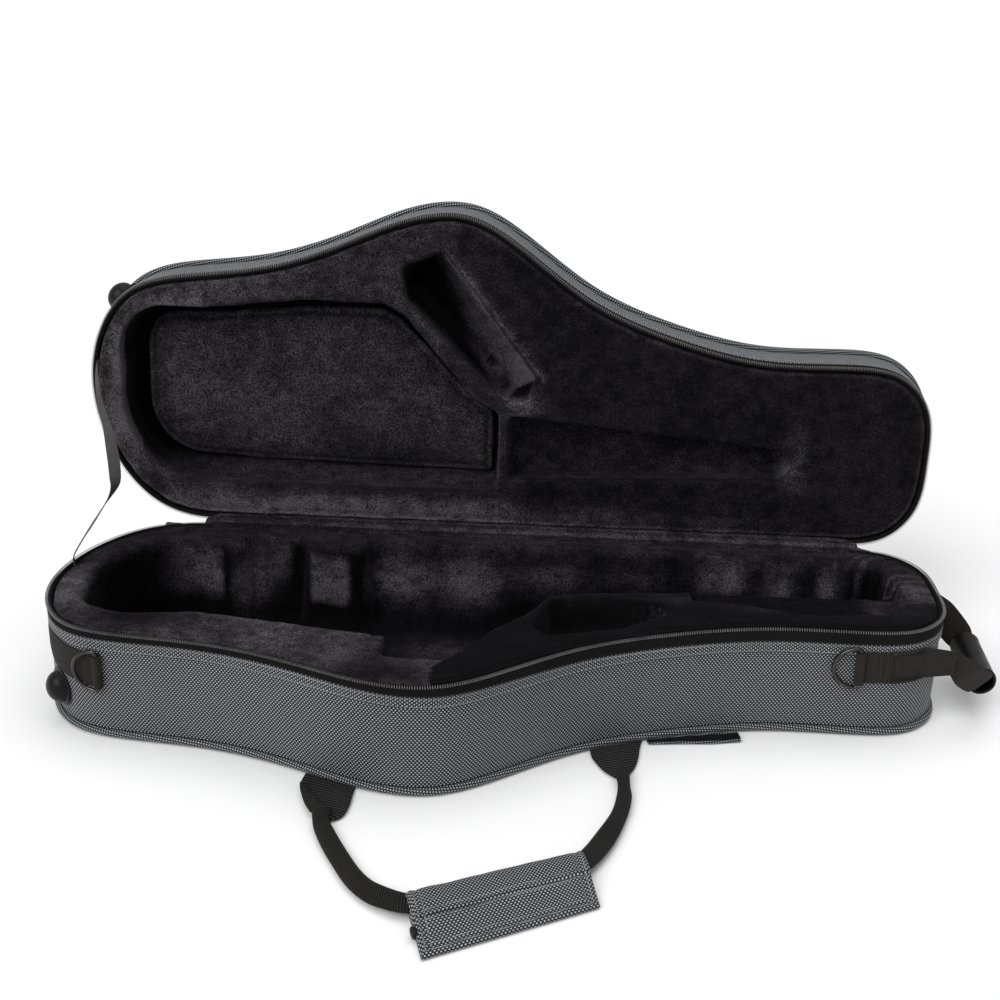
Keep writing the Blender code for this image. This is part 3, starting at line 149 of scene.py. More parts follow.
class Nodes:
    """Short names for building one material's node tree."""

    def __init__(self, name, colour, roughness, metallic=0.0, **settings):
        self.material = bpy.data.materials.new(name)
        self.material.use_nodes = True
        self.tree = self.material.node_tree
        self.shader = self.tree.nodes["Principled BSDF"]
        self.shader.inputs["Base Color"].default_value = (*colour, 1.0)
        self.shader.inputs["Roughness"].default_value = roughness
        self.shader.inputs["Metallic"].default_value = metallic
        for key, value in settings.items():
            self.shader.inputs[key.replace("_", " ")].default_value = value

    def new(self, kind, **settings):
        node = self.tree.nodes.new(kind)
        for key, value in settings.items():
            setattr(node, key, value)
        return node

    def wire(self, value, socket):
        if isinstance(value, bpy.types.NodeSocket):
            self.tree.links.new(value, socket)
        elif isinstance(value, tuple) and len(value) == 3 and len(socket.default_value) == 4:
            socket.default_value = (*value, 1.0)
        else:
            socket.default_value = value

    def maths(self, operation, *values):
        node = self.new("ShaderNodeMath", operation=operation)
        for value, socket in zip(values, node.inputs):
            self.wire(value, socket)
        return node.outputs[0]

    def spread(self, value, low, high, to_low=0.0, to_high=1.0):
        node = self.new("ShaderNodeMapRange", interpolation_type="SMOOTHSTEP")
        for item, socket in zip((value, low, high, to_low, to_high), node.inputs):
            self.wire(item, socket)
        return node.outputs[0]

    def mix(self, factor, first, second):
        node = self.new("ShaderNodeMix", data_type="RGBA")
        for value, socket in ((factor, node.inputs[0]), (first, node.inputs[6]), (second, node.inputs[7])):
            self.wire(value, socket)
        return node.outputs[2]

    def place(self):
        return self.new("ShaderNodeTexCoord").outputs["Object"]

    def cloth(self):
        """The cloth's own measure: metres along and across it."""
        split = self.new("ShaderNodeSeparateXYZ")
        self.wire(self.new("ShaderNodeUVMap", uv_map="cloth").outputs[0], split.inputs[0])
        return split.outputs[0], split.outputs[1]

    def noise(self, vector, scale, detail=2.0, roughness=0.5, stretch=None):
        if stretch:
            mapping = self.new("ShaderNodeMapping")
            self.wire(vector, mapping.inputs["Vector"])
            mapping.inputs["Scale"].default_value = stretch
            vector = mapping.outputs[0]
        node = self.new("ShaderNodeTexNoise")
        self.wire(vector, node.inputs["Vector"])
        for value, key in ((scale, "Scale"), (detail, "Detail"), (roughness, "Roughness")):
            node.inputs[key].default_value = value
        return node.outputs["Fac"]

    def bump(self, height, strength, distance):
        node = self.new("ShaderNodeBump")
        node.inputs["Strength"].default_value = strength
        node.inputs["Distance"].default_value = distance
        self.wire(height, node.inputs["Height"])
        self.tree.links.new(node.outputs[0], self.shader.inputs["Normal"])

    def colour(self, value):
        self.wire(value, self.shader.inputs["Base Color"])

    def rough(self, value):
        self.wire(value, self.shader.inputs["Roughness"])


WEAVE_ROW = 0.00158          # height of one row of threads
WEAVE_STEP = 0.0026          # length of one thread and its gap
BLACK_THREADS = (0.0055, 0.0058, 0.0068)


def weave_material(name, tint):
    """Coarse ballistic weave: rows of pale over-threads, each row half a step along."""
    n = Nodes(name, (0.1, 0.11, 0.12), 0.6, Sheen_Weight=0.04, Sheen_Roughness=0.4, Specular_IOR_Level=0.25)
    u, v = n.cloth()
    row = n.maths("DIVIDE", v, WEAVE_ROW)
    odd = n.maths("MULTIPLY", n.maths("MODULO", n.maths("ABSOLUTE", n.maths("FLOOR", row)), 2.0), 0.5)
    cell = n.maths("ADD", n.maths("DIVIDE", u, WEAVE_STEP), odd)
    across = n.maths("SUBTRACT", n.maths("FRACT", cell), 0.5)
    along = n.maths("SUBTRACT", n.maths("FRACT", row), 0.5)
    size = n.maths("SQRT", n.maths("ADD", n.maths("POWER", n.maths("MULTIPLY", across, 1.35), 2.0),
                                   n.maths("POWER", n.maths("MULTIPLY", along, 1.05), 2.0)))
    thread = n.spread(size, 0.48, 0.21)
    place = n.place()
    fibres = n.noise(place, 2600.0, 2.0)
    worn = n.noise(place, 14.0, 3.0)
    pale = n.mix(n.spread(fibres, 0.3, 0.7), tuple(c * 0.66 for c in tint), tint)
    pale = n.mix(n.spread(worn, 0.3, 0.75), pale, tuple(c * 0.8 for c in tint))
    n.colour(n.mix(thread, BLACK_THREADS, pale))
    n.rough(n.spread(fibres, 0.2, 0.8, 0.45, 0.7))
    n.bump(n.maths("ADD", thread, n.maths("MULTIPLY", fibres, 0.15)), 0.8, 0.0005)
    return n.material


def plush_material(name, dark, pale, sheen_mottle=0.45, grain=1.0):
    """Crushed plush: the mesh's attribute and crushed noise mix the dark pile towards pale; the pale is partly
    the pile's own tone and mostly painted sheen and highlight, and the dark is partly painted shade.
    """
    n = Nodes(name, dark, 0.95, Sheen_Weight=0.03, Sheen_Roughness=0.4, Sheen_Tint=(0.8, 0.75, 0.85, 1.0),
              Specular_IOR_Level=0.03)
    place = n.place()
    nap_and_painted_light = n.new("ShaderNodeAttribute", attribute_name="nap_and_painted_light").outputs["Fac"]
    pile = n.noise(place, 1000.0 * grain, 3.0, 0.65)
    brushed = n.noise(place, 85.0, 5.0, 0.68, (1.0, 1.5, 1.3))
    broad = n.noise(place, 20.0, 4.0, 0.6)
    crushed_sheen = n.maths("ADD", n.maths("MULTIPLY", brushed, 0.6), n.maths("MULTIPLY", broad, 0.4))
    # The crushed mottling is painted sheen, put into the base colour.
    uneven_sheen = n.spread(crushed_sheen, 0.38, 0.64, 1.0 - sheen_mottle, 1.0 + sheen_mottle)
    value = n.maths("MULTIPLY", n.maths("POWER", nap_and_painted_light, 1.35), uneven_sheen)
    value = n.maths("MULTIPLY", value, n.spread(pile, 0.38, 0.64, 0.22, 2.0))
    # Pale by the attribute and the noise: painted highlight and sheen; dark: painted shade and the pile's own
    # black.
    n.colour(n.mix(value, dark, pale))
    height = n.maths("ADD", n.maths("MULTIPLY", pile, 0.6), n.maths("MULTIPLY", brushed, 0.8))
    n.bump(height, 0.75, 0.0012)
    return n.material


def webbing_material(name, colour, rib, depth, groove_shade=0.15):
    """Woven webbing with ribs across its length; its grooves are darkened in colour as painted shade."""
    n = Nodes(name, colour, 0.75, Sheen_Weight=0.03, Sheen_Roughness=0.4, Specular_IOR_Level=0.12)
    u, v = n.cloth()
    ribs = n.maths("SINE", n.maths("MULTIPLY", u, math.tau / rib))
    warp = n.maths("SINE", n.maths("MULTIPLY", v, math.tau / (rib * 0.75)))
    place = n.place()
    fibres = n.noise(place, 2200.0, 2.0)
    worn = n.noise(place, 30.0, 3.0)
    top = 1.75 - groove_shade * 0.6
    # Painted shade in the grooves between the ribs, paler crests.
    base = n.mix(n.spread(ribs, -0.3, 0.8), tuple(c * groove_shade for c in colour), tuple(c * top for c in colour))
    patchy = n.spread(n.maths("ADD", fibres, n.maths("MULTIPLY", worn, 0.5)), 0.55, 0.95, 0.55, 1.0)
    n.colour(n.mix(patchy, (0.0, 0.0, 0.0), base))
    height = n.maths("ADD", n.maths("MULTIPLY", ribs, 0.5), n.maths("MULTIPLY", warp, depth))
    n.bump(n.maths("ADD", height, n.maths("MULTIPLY", fibres, 0.3)), 0.8, 0.0004)
    return n.material


def fine_material(name, colour, roughness, grain, strength, metallic=0.0, **settings):
    """A plain finish with a fine grain and slight wear."""
    n = Nodes(name, colour, roughness, metallic, **settings)
    place = n.place()
    fine = n.noise(place, grain, 3.0)
    worn = n.noise(place, 40.0, 4.0, 0.6)
    n.colour(n.mix(n.spread(worn, 0.35, 0.75), colour, tuple(min(1.0, c * 1.45) for c in colour)))
    n.rough(n.spread(worn, 0.3, 0.8, roughness * 0.85, min(1.0, roughness * 1.2)))
    n.bump(fine, strength, 0.0003)
    return n.material


WEAVE = weave_material("ballistic_weave", (0.46, 0.485, 0.52))
# The pale colours of the plush materials are painted sheen and highlight.
PLUSH = plush_material("plush", (0.0010, 0.0009, 0.0012), (0.094, 0.085, 0.098), 0.55)
PAD_PLUSH = plush_material("pad_plush", (0.0016, 0.0015, 0.0019), (0.082, 0.075, 0.087), 0.45, 0.8)
BRACE_PLUSH = plush_material("brace_plush", (0.0034, 0.0031, 0.0035), (0.088, 0.081, 0.091), 0.6)
WEBBING = webbing_material("webbing", (0.0310, 0.0275, 0.0255), 0.00095, 0.35, 0.45)
STRAP_WEBBING = webbing_material("strap_webbing", (0.0190, 0.0178, 0.0172), 0.00180, 0.2, 0.3)
TAB_WEBBING = webbing_material("tab_webbing", (0.0300, 0.0288, 0.0282), 0.00300, 0.1, 0.06)
TAPE = fine_material("zip_tape", (0.0062, 0.0057, 0.0062), 0.8, 1500.0, 0.5, Sheen_Weight=0.01,
                     Specular_IOR_Level=0.05)
COIL = fine_material("zip_coil", (0.125, 0.122, 0.120), 0.3, 900.0, 0.1)
THREAD = fine_material("thread", (0.17, 0.17, 0.178), 0.6, 2500.0, 0.5)
DARK_THREAD = fine_material("dark_thread", (0.006, 0.0055, 0.005), 0.6, 2500.0, 0.5, Specular_IOR_Level=0.3)
RUBBER = fine_material("rubber", (0.0042, 0.0040, 0.0042), 0.42, 700.0, 0.15, Specular_IOR_Level=0.16)
NICKEL = fine_material("black_nickel", (0.050, 0.047, 0.045), 0.2, 60.0, 0.03, 1.0)
RIBBON = webbing_material("ribbon", (0.125, 0.117, 0.112), 0.0007, 0.2)


# The outline

def clamped_spline(points, steps):
    points = np.array(points)
    chords = np.hypot(*np.diff(points, axis=0).T)
    count = len(points)
    matrix, target = np.zeros((count, count)), np.zeros((count, 2))
    matrix[0, 0] = matrix[-1, -1] = 1.0
    target[0] = target[-1] = (-1.0, 0.0)
    for i in range(1, count - 1):
        before, after = chords[i - 1], chords[i]
        matrix[i, i - 1:i + 2] = (after, 2 * (before + after), before)
        target[i] = 3 * (after * (points[i] - points[i - 1]) / before
                         + before * (points[i + 1] - points[i]) / after)
    slopes = np.linalg.solve(matrix, target)
    run = []
    for i, chord in enumerate(chords):
        t = np.linspace(0.0, 1.0, steps, endpoint=False)[:, None]
        run.append((1 + 2 * t) * (1 - t) ** 2 * points[i] + t * (1 - t) ** 2 * chord * slopes[i]
                   + t * t * (3 - 2 * t) * points[i + 1] + t * t * (t - 1) * chord * slopes[i + 1])
    return np.vstack(run + [points[-1:]])


def run_lengths(points):
    """Distance run along a line up to each of its points."""
    return np.concatenate([[0.0], np.cumsum(np.linalg.norm(np.diff(points, axis=0), axis=1))])


def at_run(points, lengths, wanted):
    """Places on a line at the wanted distances along it."""
    return np.stack([np.interp(wanted, lengths, points[:, k]) for k in range(points.shape[1])], -1)


front = clamped_spline([(x * HALF_LENGTH, d * DEPTH) for x, d in OUTLINE_SHARES], 60)
RUN = run_lengths(front)[-1]
closing = np.linspace(front[-1], front[0], 120)[1:]
around = np.vstack([front, closing])
around_lengths = run_lengths(around)
LOOP_RUN = around_lengths[-1]
tangent = np.gradient(around, axis=0)
tangent[0] = tangent[-1] = (-1.0, 0.0)
normal = np.stack([-tangent[:, 1], tangent[:, 0]], 1) / np.hypot(*tangent.T)[:, None]


def outline(lengths, offset=0.0):
    """Points at given runs round the closed outline, moved outwards by offset."""
    lengths = np.asarray(lengths) % LOOP_RUN
    normals = at_run(normal, around_lengths, lengths)
    normals /= np.linalg.norm(normals, axis=-1, keepdims=True)
    return at_run(around, around_lengths, lengths) + normals * np.asarray(offset)[..., None]


LOOP = np.linspace(0.0, LOOP_RUN, 620, endpoint=False)


def place(tray, x, d, h):
    """World points from run along X, distance from the hinge and depth from the rim."""
    x, d, h = np.broadcast_arrays(x, d, h)
    if tray == "base":
        return np.stack([x, HINGE_Y - d, BASE_HEIGHT - h], -1)
    c, s = math.cos(LID_OPEN_ANGLE), math.sin(LID_OPEN_ANGLE)
    return np.stack([x, HINGE_Y - d * c + h * s, BASE_HEIGHT + d * s + h * c], -1)


HEIGHTS = {"base": BASE_HEIGHT, "lid": LID_HEIGHT}


def lean(tray, h):
    """How far the wall stands out at a depth; only the lid's wall leans."""
    return np.asarray(h) * (LID_FLARE / LID_HEIGHT if tray == "lid" else 0.0)


def spline_part(a, b, c, e, steps):
    """Points of a smooth curve from b up to c, with a before them and e after."""
    return [0.5 * ((2 * b) + (c - a) * t + (2 * a - 5 * b + 4 * c - e) * t * t
                   + (3 * b - a - 3 * c + e) * t ** 3) for t in np.linspace(0.0, 1.0, steps, endpoint=False)]


def smooth_run(points, step):
    """A smooth open run through given points, resampled at an even step."""
    points = [np.array(p, float) for p in points]
    points = [2 * points[0] - points[1]] + points + [2 * points[-1] - points[-2]]
    fine = []
    for part in zip(points, points[1:], points[2:], points[3:]):
        fine += spline_part(*part, 12)
    fine = np.array(fine + [points[-2]])
    lengths = run_lengths(fine)
    return at_run(fine, lengths, np.linspace(0.0, lengths[-1], max(2, round(lengths[-1] / step)) + 1))


def closed_curve(points, count, scale=(1.0, 1.0)):
    """A smooth closed loop through points, with steps that are even once scaled."""
    points = np.array(points, float) * scale
    fine, size = [], len(points)
    for i in range(size):
        fine += spline_part(points[i - 1], points[i], points[(i + 1) % size], points[(i + 2) % size], 14)
    fine = np.array(fine + fine[:1])
    lengths = run_lengths(fine)
    return at_run(fine, lengths, np.linspace(0.0, lengths[-1], count, endpoint=False)) / scale


def heading(points, i):
    """Step from the point before i to the point after it."""
    return points[min(i + 1, len(points) - 1)] - points[max(i - 1, 0)]


def circle(count):
    """Even angles once round."""
    return np.linspace(0, math.tau, count, endpoint=False)


def hump(value, centre, reach):
    """One at the centre, fading to nought past the reach."""
    return np.exp(-((value - centre) / reach) ** 2)


def ramp(value, start, span):
    """From nought at start to one at start + span; the span may be negative."""
    return np.clip((value - start) / span, 0.0, 1.0)


def vertices_of(mesh):
    """A mesh's vertices as an array."""
    found = np.empty(len(mesh.vertices) * 3)
    mesh.vertices.foreach_get("co", found)
    return found.reshape(-1, 3)


# Meshes

def finish_mesh(name, verts, faces, uvs, material, body, nodes=(), sharp=40.0):
    """A smooth mesh object with its material, attached to its body when one is given."""
    mesh = bpy.data.meshes.new(name)
    mesh.from_pydata(np.asarray(verts, float).reshape(-1, 3).tolist(), [], faces)
    if uvs is not None:
        layer = mesh.uv_layers.new(name="cloth")
        layer.uv.foreach_set("vector", np.asarray(uvs, np.float32).ravel())
    mesh.shade_smooth()
    if sharp:
        mesh.set_sharp_from_angle(angle=math.radians(sharp))
    mesh.materials.append(material)
    obj = bpy.data.objects.new(name, mesh)
    bpy.context.scene.collection.objects.link(obj)
    if body:
        settle(obj, body, nodes)
    return obj


def settle(obj, body, nodes=()):
    """Parents the mesh to its body's empty and hides the CAD nodes that it stands for."""
    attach(obj, body)
    if nodes:
        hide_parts(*nodes)
    return obj


def skin(name, rings, material, body, nodes=(), close=False, turn=0.0, sharp=40.0):
    """Skin over rings of equal count with the cloth's measure along (u) and across (v)."""
    rings = np.asarray(rings, float)
    count, size = rings.shape[:2]
    middles = rings.mean(axis=1)
    if close:
        middles = np.vstack([middles, middles[:1]])
    along = run_lengths(middles)
    walk = np.concatenate([rings, rings[:, :1]], axis=1)
    steps = np.linalg.norm(np.diff(walk, axis=1), axis=2).mean(axis=0)
    across = np.concatenate([[0.0], np.cumsum(steps)])
    c, s = math.cos(turn), math.sin(turn)
    faces, uvs = [], []
    for i in range(count if close else count - 1):
        k = (i + 1) % count
        for j in range(size):
            m = (j + 1) % size
            faces.append((i * size + j, i * size + m, k * size + m, k * size + j))
            for a, b in ((i, j), (i, j + 1), (i + 1, j + 1), (i + 1, j)):
                uvs.append((along[a] * c - across[b] * s, along[a] * s + across[b] * c))
    if not close:
        for i, order in ((0, range(size)[::-1]), (count - 1, range(size))):
            faces.append([i * size + j for j in order])
            flat = rings[i] - rings[i].mean(axis=0)
            uvs += [(flat[j, 0], flat[j, 2] + flat[j, 1]) for j in order]
    return finish_mesh(name, rings, faces, uvs, material, body, nodes, sharp)


def hug(tray, lengths, profile):
    """Rings of a profile of (offset, depth) carried along the outline."""
    lengths = np.asarray(lengths)
    profile = np.broadcast_to(profile, (len(lengths),) + np.shape(profile)[-2:])
    offset = profile[..., 0] + lean(tray, profile[..., 1])
    flat = outline(lengths[:, None], offset)
    return place(tray, flat[..., 0], flat[..., 1], profile[..., 1])


def scatter(name, frames, verts, faces, material, body):
    """Copies of one small mesh at many frames: each a place and three axes."""
    frames = np.asarray(frames, float)
    verts = np.asarray(verts, float)
    made = frames[:, None, 0] + np.einsum("vk,nkc->nvc", verts, frames[:, 1:4])
    all_faces = [[f + i * len(verts) for f in face] for i in range(len(frames)) for face in faces]
    return finish_mesh(name, made, all_faces, None, material, body, (), 0.0)


def capsule(sides, rings):
    """A short rounded rod along its first axis, from (place, radius) pairs."""
    verts, faces = [], []
    for x, r in rings:
        verts += [(x, r * math.cos(a), r * math.sin(a)) for a in circle(sides)]
    for i in range(len(rings) - 1):
        for j in range(sides):
            m = (j + 1) % sides
            faces.append((i * sides + j, i * sides + m, (i + 1) * sides + m, (i + 1) * sides + j))
    faces.append(list(range(sides))[::-1])
    faces.append([(len(rings) - 1) * sides + j for j in range(sides)])
    return verts, faces


STITCH = capsule(6, [(-0.5, 0.14), (-0.36, 0.30), (0.0, 0.36), (0.36, 0.30), (0.5, 0.14)])


def stitch_frames(route, normals, pitch=0.0032, length=0.0025, width=0.0011):
    """Frames of a row of stitches along a route that lies on a surface."""
    route, normals = np.asarray(route, float), np.asarray(normals, float)
    lengths = run_lengths(route)
    wanted = np.arange(pitch / 2, lengths[-1], pitch)
    here = at_run(route, lengths, wanted)
    ahead = at_run(route, lengths, wanted + length / 2) - at_run(route, lengths, wanted - length / 2)
    ahead /= np.linalg.norm(ahead, axis=1, keepdims=True) + 1e-12
    out = at_run(normals, lengths, wanted)
    out -= ahead * (out * ahead).sum(axis=1, keepdims=True)
    out /= np.linalg.norm(out, axis=1, keepdims=True) + 1e-12
    side = np.cross(out, ahead)
    return np.stack([here, ahead * length, side * width, out * width * 0.8], axis=1)


OUT_STEP = 0.01


def on_wall(tray, lengths, offset, h):
    """Places at a depth along the outline, each with a step of OUT_STEP straight out from it."""
    here, beyond = (place(tray, flat[..., 0], flat[..., 1], h)
                    for flat in (outline(lengths, offset), outline(lengths, offset + OUT_STEP)))
    return here, beyond - here


def outline_stitches(tray, lengths, offset, h):
    """A stitch row at a depth along the outline."""
    return stitch_frames(*on_wall(tray, lengths, offset + lean(tray, h), h))


# Shell

def tape_width(lengths):
    """The zipper's tape shows less of itself round the bell than at the mouthpiece's end."""
    return np.interp(lengths / RUN, [0.0, 0.15, 0.30, 0.42, 0.50, 0.58, 1.0],
                     [0.0105, 0.0085, 0.0066, 0.0076, 0.0090, 0.0112, 0.0112])


WALL_TOP = 0.0078            # the wall cloth's upper edge below the rim
WALL_SWELL = 0.0010
RIM_LIP = [(-0.0040, 0.0076), (-0.0034, 0.0070), (-0.0033, 0.0014), (-0.0036, 0.0008), (-0.0041, 0.0007),
           (-0.0046, 0.0012), (-0.0049, 0.0028), (-0.0053, 0.0044), (-0.0057, 0.0052), (-0.0058, 0.0076)]
TAPE_TOP = 0.0022            # the zip tape's upper edge below the rim
# Rise of the tape against the share of its width
TAPE_RELIEF = np.array([(0.0, 0.02), (0.0007, 0.0), (0.0009, 0.25), (0.0006, 0.42), (0.0011, 0.52),
                        (0.0007, 0.62), (0.0009, 0.8), (0.0010, 0.97), (0.0, 1.0)])
HEM = 0.0080                 # the hem band's height
HEM_SWELL = np.array([0.0005, 0.0012, 0.0009, 0.0008, 0.0009, 0.0011, 0.0004])
# The zip's teeth, in millimetres out from the wall and down from the rim
MILLIMETRE = 0.001
TOOTH_PITCH = 0.00172
TOOTH_ARCH = [(0.1, 2.1), (0.9, 2.1), (1.6, 1.8), (1.95, 1.3), (1.6, 0.8), (0.9, 0.62), (-0.4, 0.62)]
TOOTH_WIRE = 0.27            # half the wire's thickness
TOOTH_FLATNESS = 1.15


def tooth_mesh():
    """One loop of the coil: four-sided wire along the arch."""
    verts = []
    r = TOOTH_WIRE
    for i, (o, h) in enumerate(TOOTH_ARCH):
        o0, h0 = TOOTH_ARCH[max(i - 1, 0)]
        o1, h1 = TOOTH_ARCH[min(i + 1, len(TOOTH_ARCH) - 1)]
        t = np.array([o1 - o0, h1 - h0]) / math.hypot(o1 - o0, h1 - h0)
        verts += [(o + t[1] * r, h - t[0] * r, 0.0), (o, h, r * TOOTH_FLATNESS),
                  (o - t[1] * r, h + t[0] * r, 0.0), (o, h, -r * TOOTH_FLATNESS)]
    faces = []
    for i in range(len(TOOTH_ARCH) - 1):
        for j in range(4):
            m = (j + 1) % 4
            faces.append((i * 4 + j, i * 4 + m, i * 4 + 4 + m, i * 4 + 4 + j))
    return verts, faces + [(3, 2, 1, 0), tuple(len(verts) - 4 + j for j in range(4))]


def make_shell(tray):
    """Wall cloth, rim binding, piping, zip tape with its teeth, and hem with its stitches."""
    height = HEIGHTS[tray]
    near, far = WALL_TOP, height - PANEL_THICKNESS - SEAT_GAP
    outer = [(-WALL_INSET - 0.0004 + WALL_SWELL * math.sin(math.pi * t) ** 0.8, near + (far - near) * t)
             for t in np.linspace(0.0, 1.0, 12)]
    back = -WALL_INSET - WALL_THICKNESS
    rings = hug(tray, LOOP, outer + [(back, far), (back, near)])
    skin(tray + "_wall_cloth", rings, WEAVE, tray, [tray + "_side_wall"], close=True, sharp=50.0)
    skin(tray + "_rim_binding", hug(tray, LOOP, RIM_LIP), TAPE, tray, close=True, sharp=0.0)

    centre_h = height - PIPING_LIFT
    middle = LID_FLARE * (tray == "lid") - lean(tray, centre_h) - PIPING_RADIUS
    ring = [(middle + PIPING_RADIUS * math.cos(a), centre_h + PIPING_RADIUS * math.sin(a))
            for a in circle(12)]
    skin(tray + "_piping_cord", hug(tray, LOOP, ring), WEAVE, tray, [tray + "_piping"], close=True,
         turn=math.radians(45.0), sharp=0.0)

    run = np.linspace(0.0, RUN, 430)
    width = tape_width(run)
    root = -WALL_INSET + SEAT_GAP
    profile = np.stack([np.broadcast_to(root + TAPE_RELIEF[:, 0], (len(run), len(TAPE_RELIEF))),
                        TAPE_TOP + TAPE_RELIEF[:, 1] * (width[:, None] - TAPE_TOP)], -1)
    skin(tray + "_zip_tape", hug(tray, run, profile), TAPE, tray, [tray + "_zipper_half"])

    teeth = np.arange(0.0008, RUN - 0.0008, TOOTH_PITCH)
    here, out = on_wall(tray, teeth, root, 0.0)
    out /= OUT_STEP
    flat = outline(teeth, root)
    down = place(tray, flat[:, 0], flat[:, 1], 0.01) - here
    down /= np.linalg.norm(down, axis=1, keepdims=True)
    frames = np.stack([here, out * MILLIMETRE, down * MILLIMETRE, np.cross(out, down) * MILLIMETRE], axis=1)
    scatter(tray + "_zip_coil", frames, *tooth_mesh(), COIL, tray)

    near = width + 0.0002
    t = np.linspace(0.0, 1.0, len(HEM_SWELL))
    face = np.stack([np.broadcast_to(root + HEM_SWELL, (len(run), len(t))), near[:, None] + HEM * t], -1)
    ends = np.stack([np.full((len(run), 2), root), np.stack([near + HEM, near], -1)], -1)
    skin(tray + "_hem_cloth", hug(tray, run, np.concatenate([face, ends], 1)), WEAVE, tray,
         [tray + "_hem_band"], turn=math.radians(90.0))
    rows = [outline_stitches(tray, run, root + 0.0011, near + HEM * share) for share in (0.16, 0.86)]
    scatter(tray + "_hem_stitches", np.vstack(rows), *STITCH, THREAD, tray)
    row = outline_stitches(tray, run, root + 0.0010, TAPE_TOP + 0.9 * (width - TAPE_TOP))
    scatter(tray + "_tape_stitches", row, *STITCH, DARK_THREAD, tray)


# Height fields for panels and liners

def inside_distance(points, loop):
    """Distance of each point from a closed loop, positive inside it."""
    found = []
    ahead = np.roll(loop, -1, axis=0)
    step = ahead - loop
    size = (step ** 2).sum(axis=1)
    rise = np.where(ahead[:, 1] == loop[:, 1], 1.0, ahead[:, 1] - loop[:, 1])
    for part in np.array_split(points, max(1, len(points) * len(loop) // 2000000)):
        away = part[:, None, :] - loop[None, :, :]
        t = np.clip((away * step).sum(axis=2) / size, 0.0, 1.0)
        near = np.sqrt(((away - t[..., None] * step) ** 2).sum(axis=2)).min(axis=1)
        y = part[:, 1, None]
        crosses = (loop[:, 1] > y) != (ahead[:, 1] > y)
        at = loop[:, 0] + (y - loop[:, 1]) / rise * step[:, 0]
        inside = (crosses & (part[:, 0, None] < at)).sum(axis=1) % 2 == 1
        found.append(np.where(inside, near, -near))
    return np.concatenate(found)


def rounded_outline(shares, grow=0.0):
    """Corners given as shares, moved outwards by grow and each rounded by an arc."""
    corners = np.array([(x * HALF_LENGTH, d * DEPTH) for x, d, r in shares])
    following = np.roll(corners, -1, axis=0)
    ahead = following - corners
    sense = np.sign((corners[:, 0] * following[:, 1] - following[:, 0] * corners[:, 1]).sum())
    normals = np.stack([ahead[:, 1], -ahead[:, 0]], axis=1) * sense / np.hypot(*ahead.T)[:, None]
    before = np.roll(normals, 1, axis=0)
    swell = np.sign(before[:, 0] * normals[:, 1] - before[:, 1] * normals[:, 0]) * sense
    corners = corners + grow * (before + normals) / (1.0 + (before * normals).sum(axis=1))[:, None]
    radii = np.maximum([r * DEPTH for x, d, r in shares] + grow * swell, 0.0006)
    loop = []
    for i, here in enumerate(corners):
        to_last, to_next = corners[i - 1] - here, corners[(i + 1) % len(corners)] - here
        last_length, next_length = np.hypot(*to_last), np.hypot(*to_next)
        to_last, to_next = to_last / last_length, to_next / next_length
        half_turn = math.acos(np.clip(to_last @ to_next, -1.0, 1.0)) / 2
        reach = min(radii[i] / math.tan(half_turn), 0.48 * last_length, 0.48 * next_length)
        start, end = here + to_last * reach, here + to_next * reach
        for t in np.linspace(0.0, 1.0, 9):
            weight = 2 * t * (1 - t) * math.sin(half_turn)
            loop.append(((1 - t) ** 2 * start + weight * here + t ** 2 * end)
                        / ((1 - t) ** 2 + weight + t ** 2))
    return np.array(loop)


def densify(loop, step):
    """The same loop with steps no longer than the one given."""
    closed = np.vstack([loop, loop[:1]])
    lengths = run_lengths(closed)
    count = max(8, int(lengths[-1] / step))
    return at_run(closed, lengths, np.linspace(0.0, lengths[-1], count, endpoint=False))


def pad_loop(grow=0.0, step=0.003):
    """The bell pad's outline, grown or shrunk."""
    return densify(rounded_outline(PAD_SHARES, grow), step)


def soft_profile(depth, lip, wall, floor, rows=6):
    """Distance inside a pocket's edge against depth, as a lip's arc, a wall and a floor's arc."""
    a = np.linspace(0.0, math.pi / 2, 5)
    distances = list(-lip + lip * np.sin(a)) + list(np.linspace(0.0, wall, rows + 2)[1:-1])
    depths = list(lip - lip * np.cos(a)) + list(np.linspace(lip, depth - floor, rows + 2)[1:-1])
    distances += list(wall + floor * (1 - np.cos(a)))
    depths += list(depth - floor + floor * np.sin(a))
    return np.array(distances), np.array(depths)


def triangulate(edge, levels, step):
    """Triangles over the inside of edge that follow the levels, with a staggered fill."""
    low, high = edge.min(axis=0), edge.max(axis=0)
    fill = []
    for i, d in enumerate(np.arange(low[1], high[1], step * 0.87)):
        across = np.arange(low[0] + (i % 2) * step / 2, high[0], step)
        fill.append(np.stack([across, np.full(len(across), d)], 1))
    fill = np.vstack(fill)
    fill = fill[inside_distance(fill, edge) > step * 0.6]
    points, edges = list(edge), []
    for level in levels:
        first = len(points)
        points += list(level)
        edges += [(first + i, first + (i + 1) % len(level)) for i in range(len(level))]
    points += list(fill)
    found = mathutils.geometry.delaunay_2d_cdt([Vector(p) for p in points], edges,
                                               [list(range(len(edge)))], 1, 1e-5)
    flat, faces = np.array([tuple(v) for v in found[0]]), np.array(found[2])
    index = {origin: i for i, source in enumerate(found[3]) for origin in source if origin < len(edge)}
    order = sorted(index)
    keep = inside_distance(flat[faces].mean(axis=1), edge) > 0.0
    return flat, faces[keep], [index[origin] for origin in order], order


def roughen(points, faces, amount, scale):
    """Moves points along their own normals by smooth noise, to crush a pile."""
    corner = points[faces]
    cross = np.cross(corner[:, 1] - corner[:, 0], corner[:, 2] - corner[:, 0])
    out = np.zeros_like(points)
    for k in range(3):
        np.add.at(out, faces[:, k], cross)
    out /= np.linalg.norm(out, axis=1, keepdims=True) + 1e-12
    lift = np.array([noise.noise(Vector(p * scale)) * amount for p in points])
    return points + out * lift[:, None]


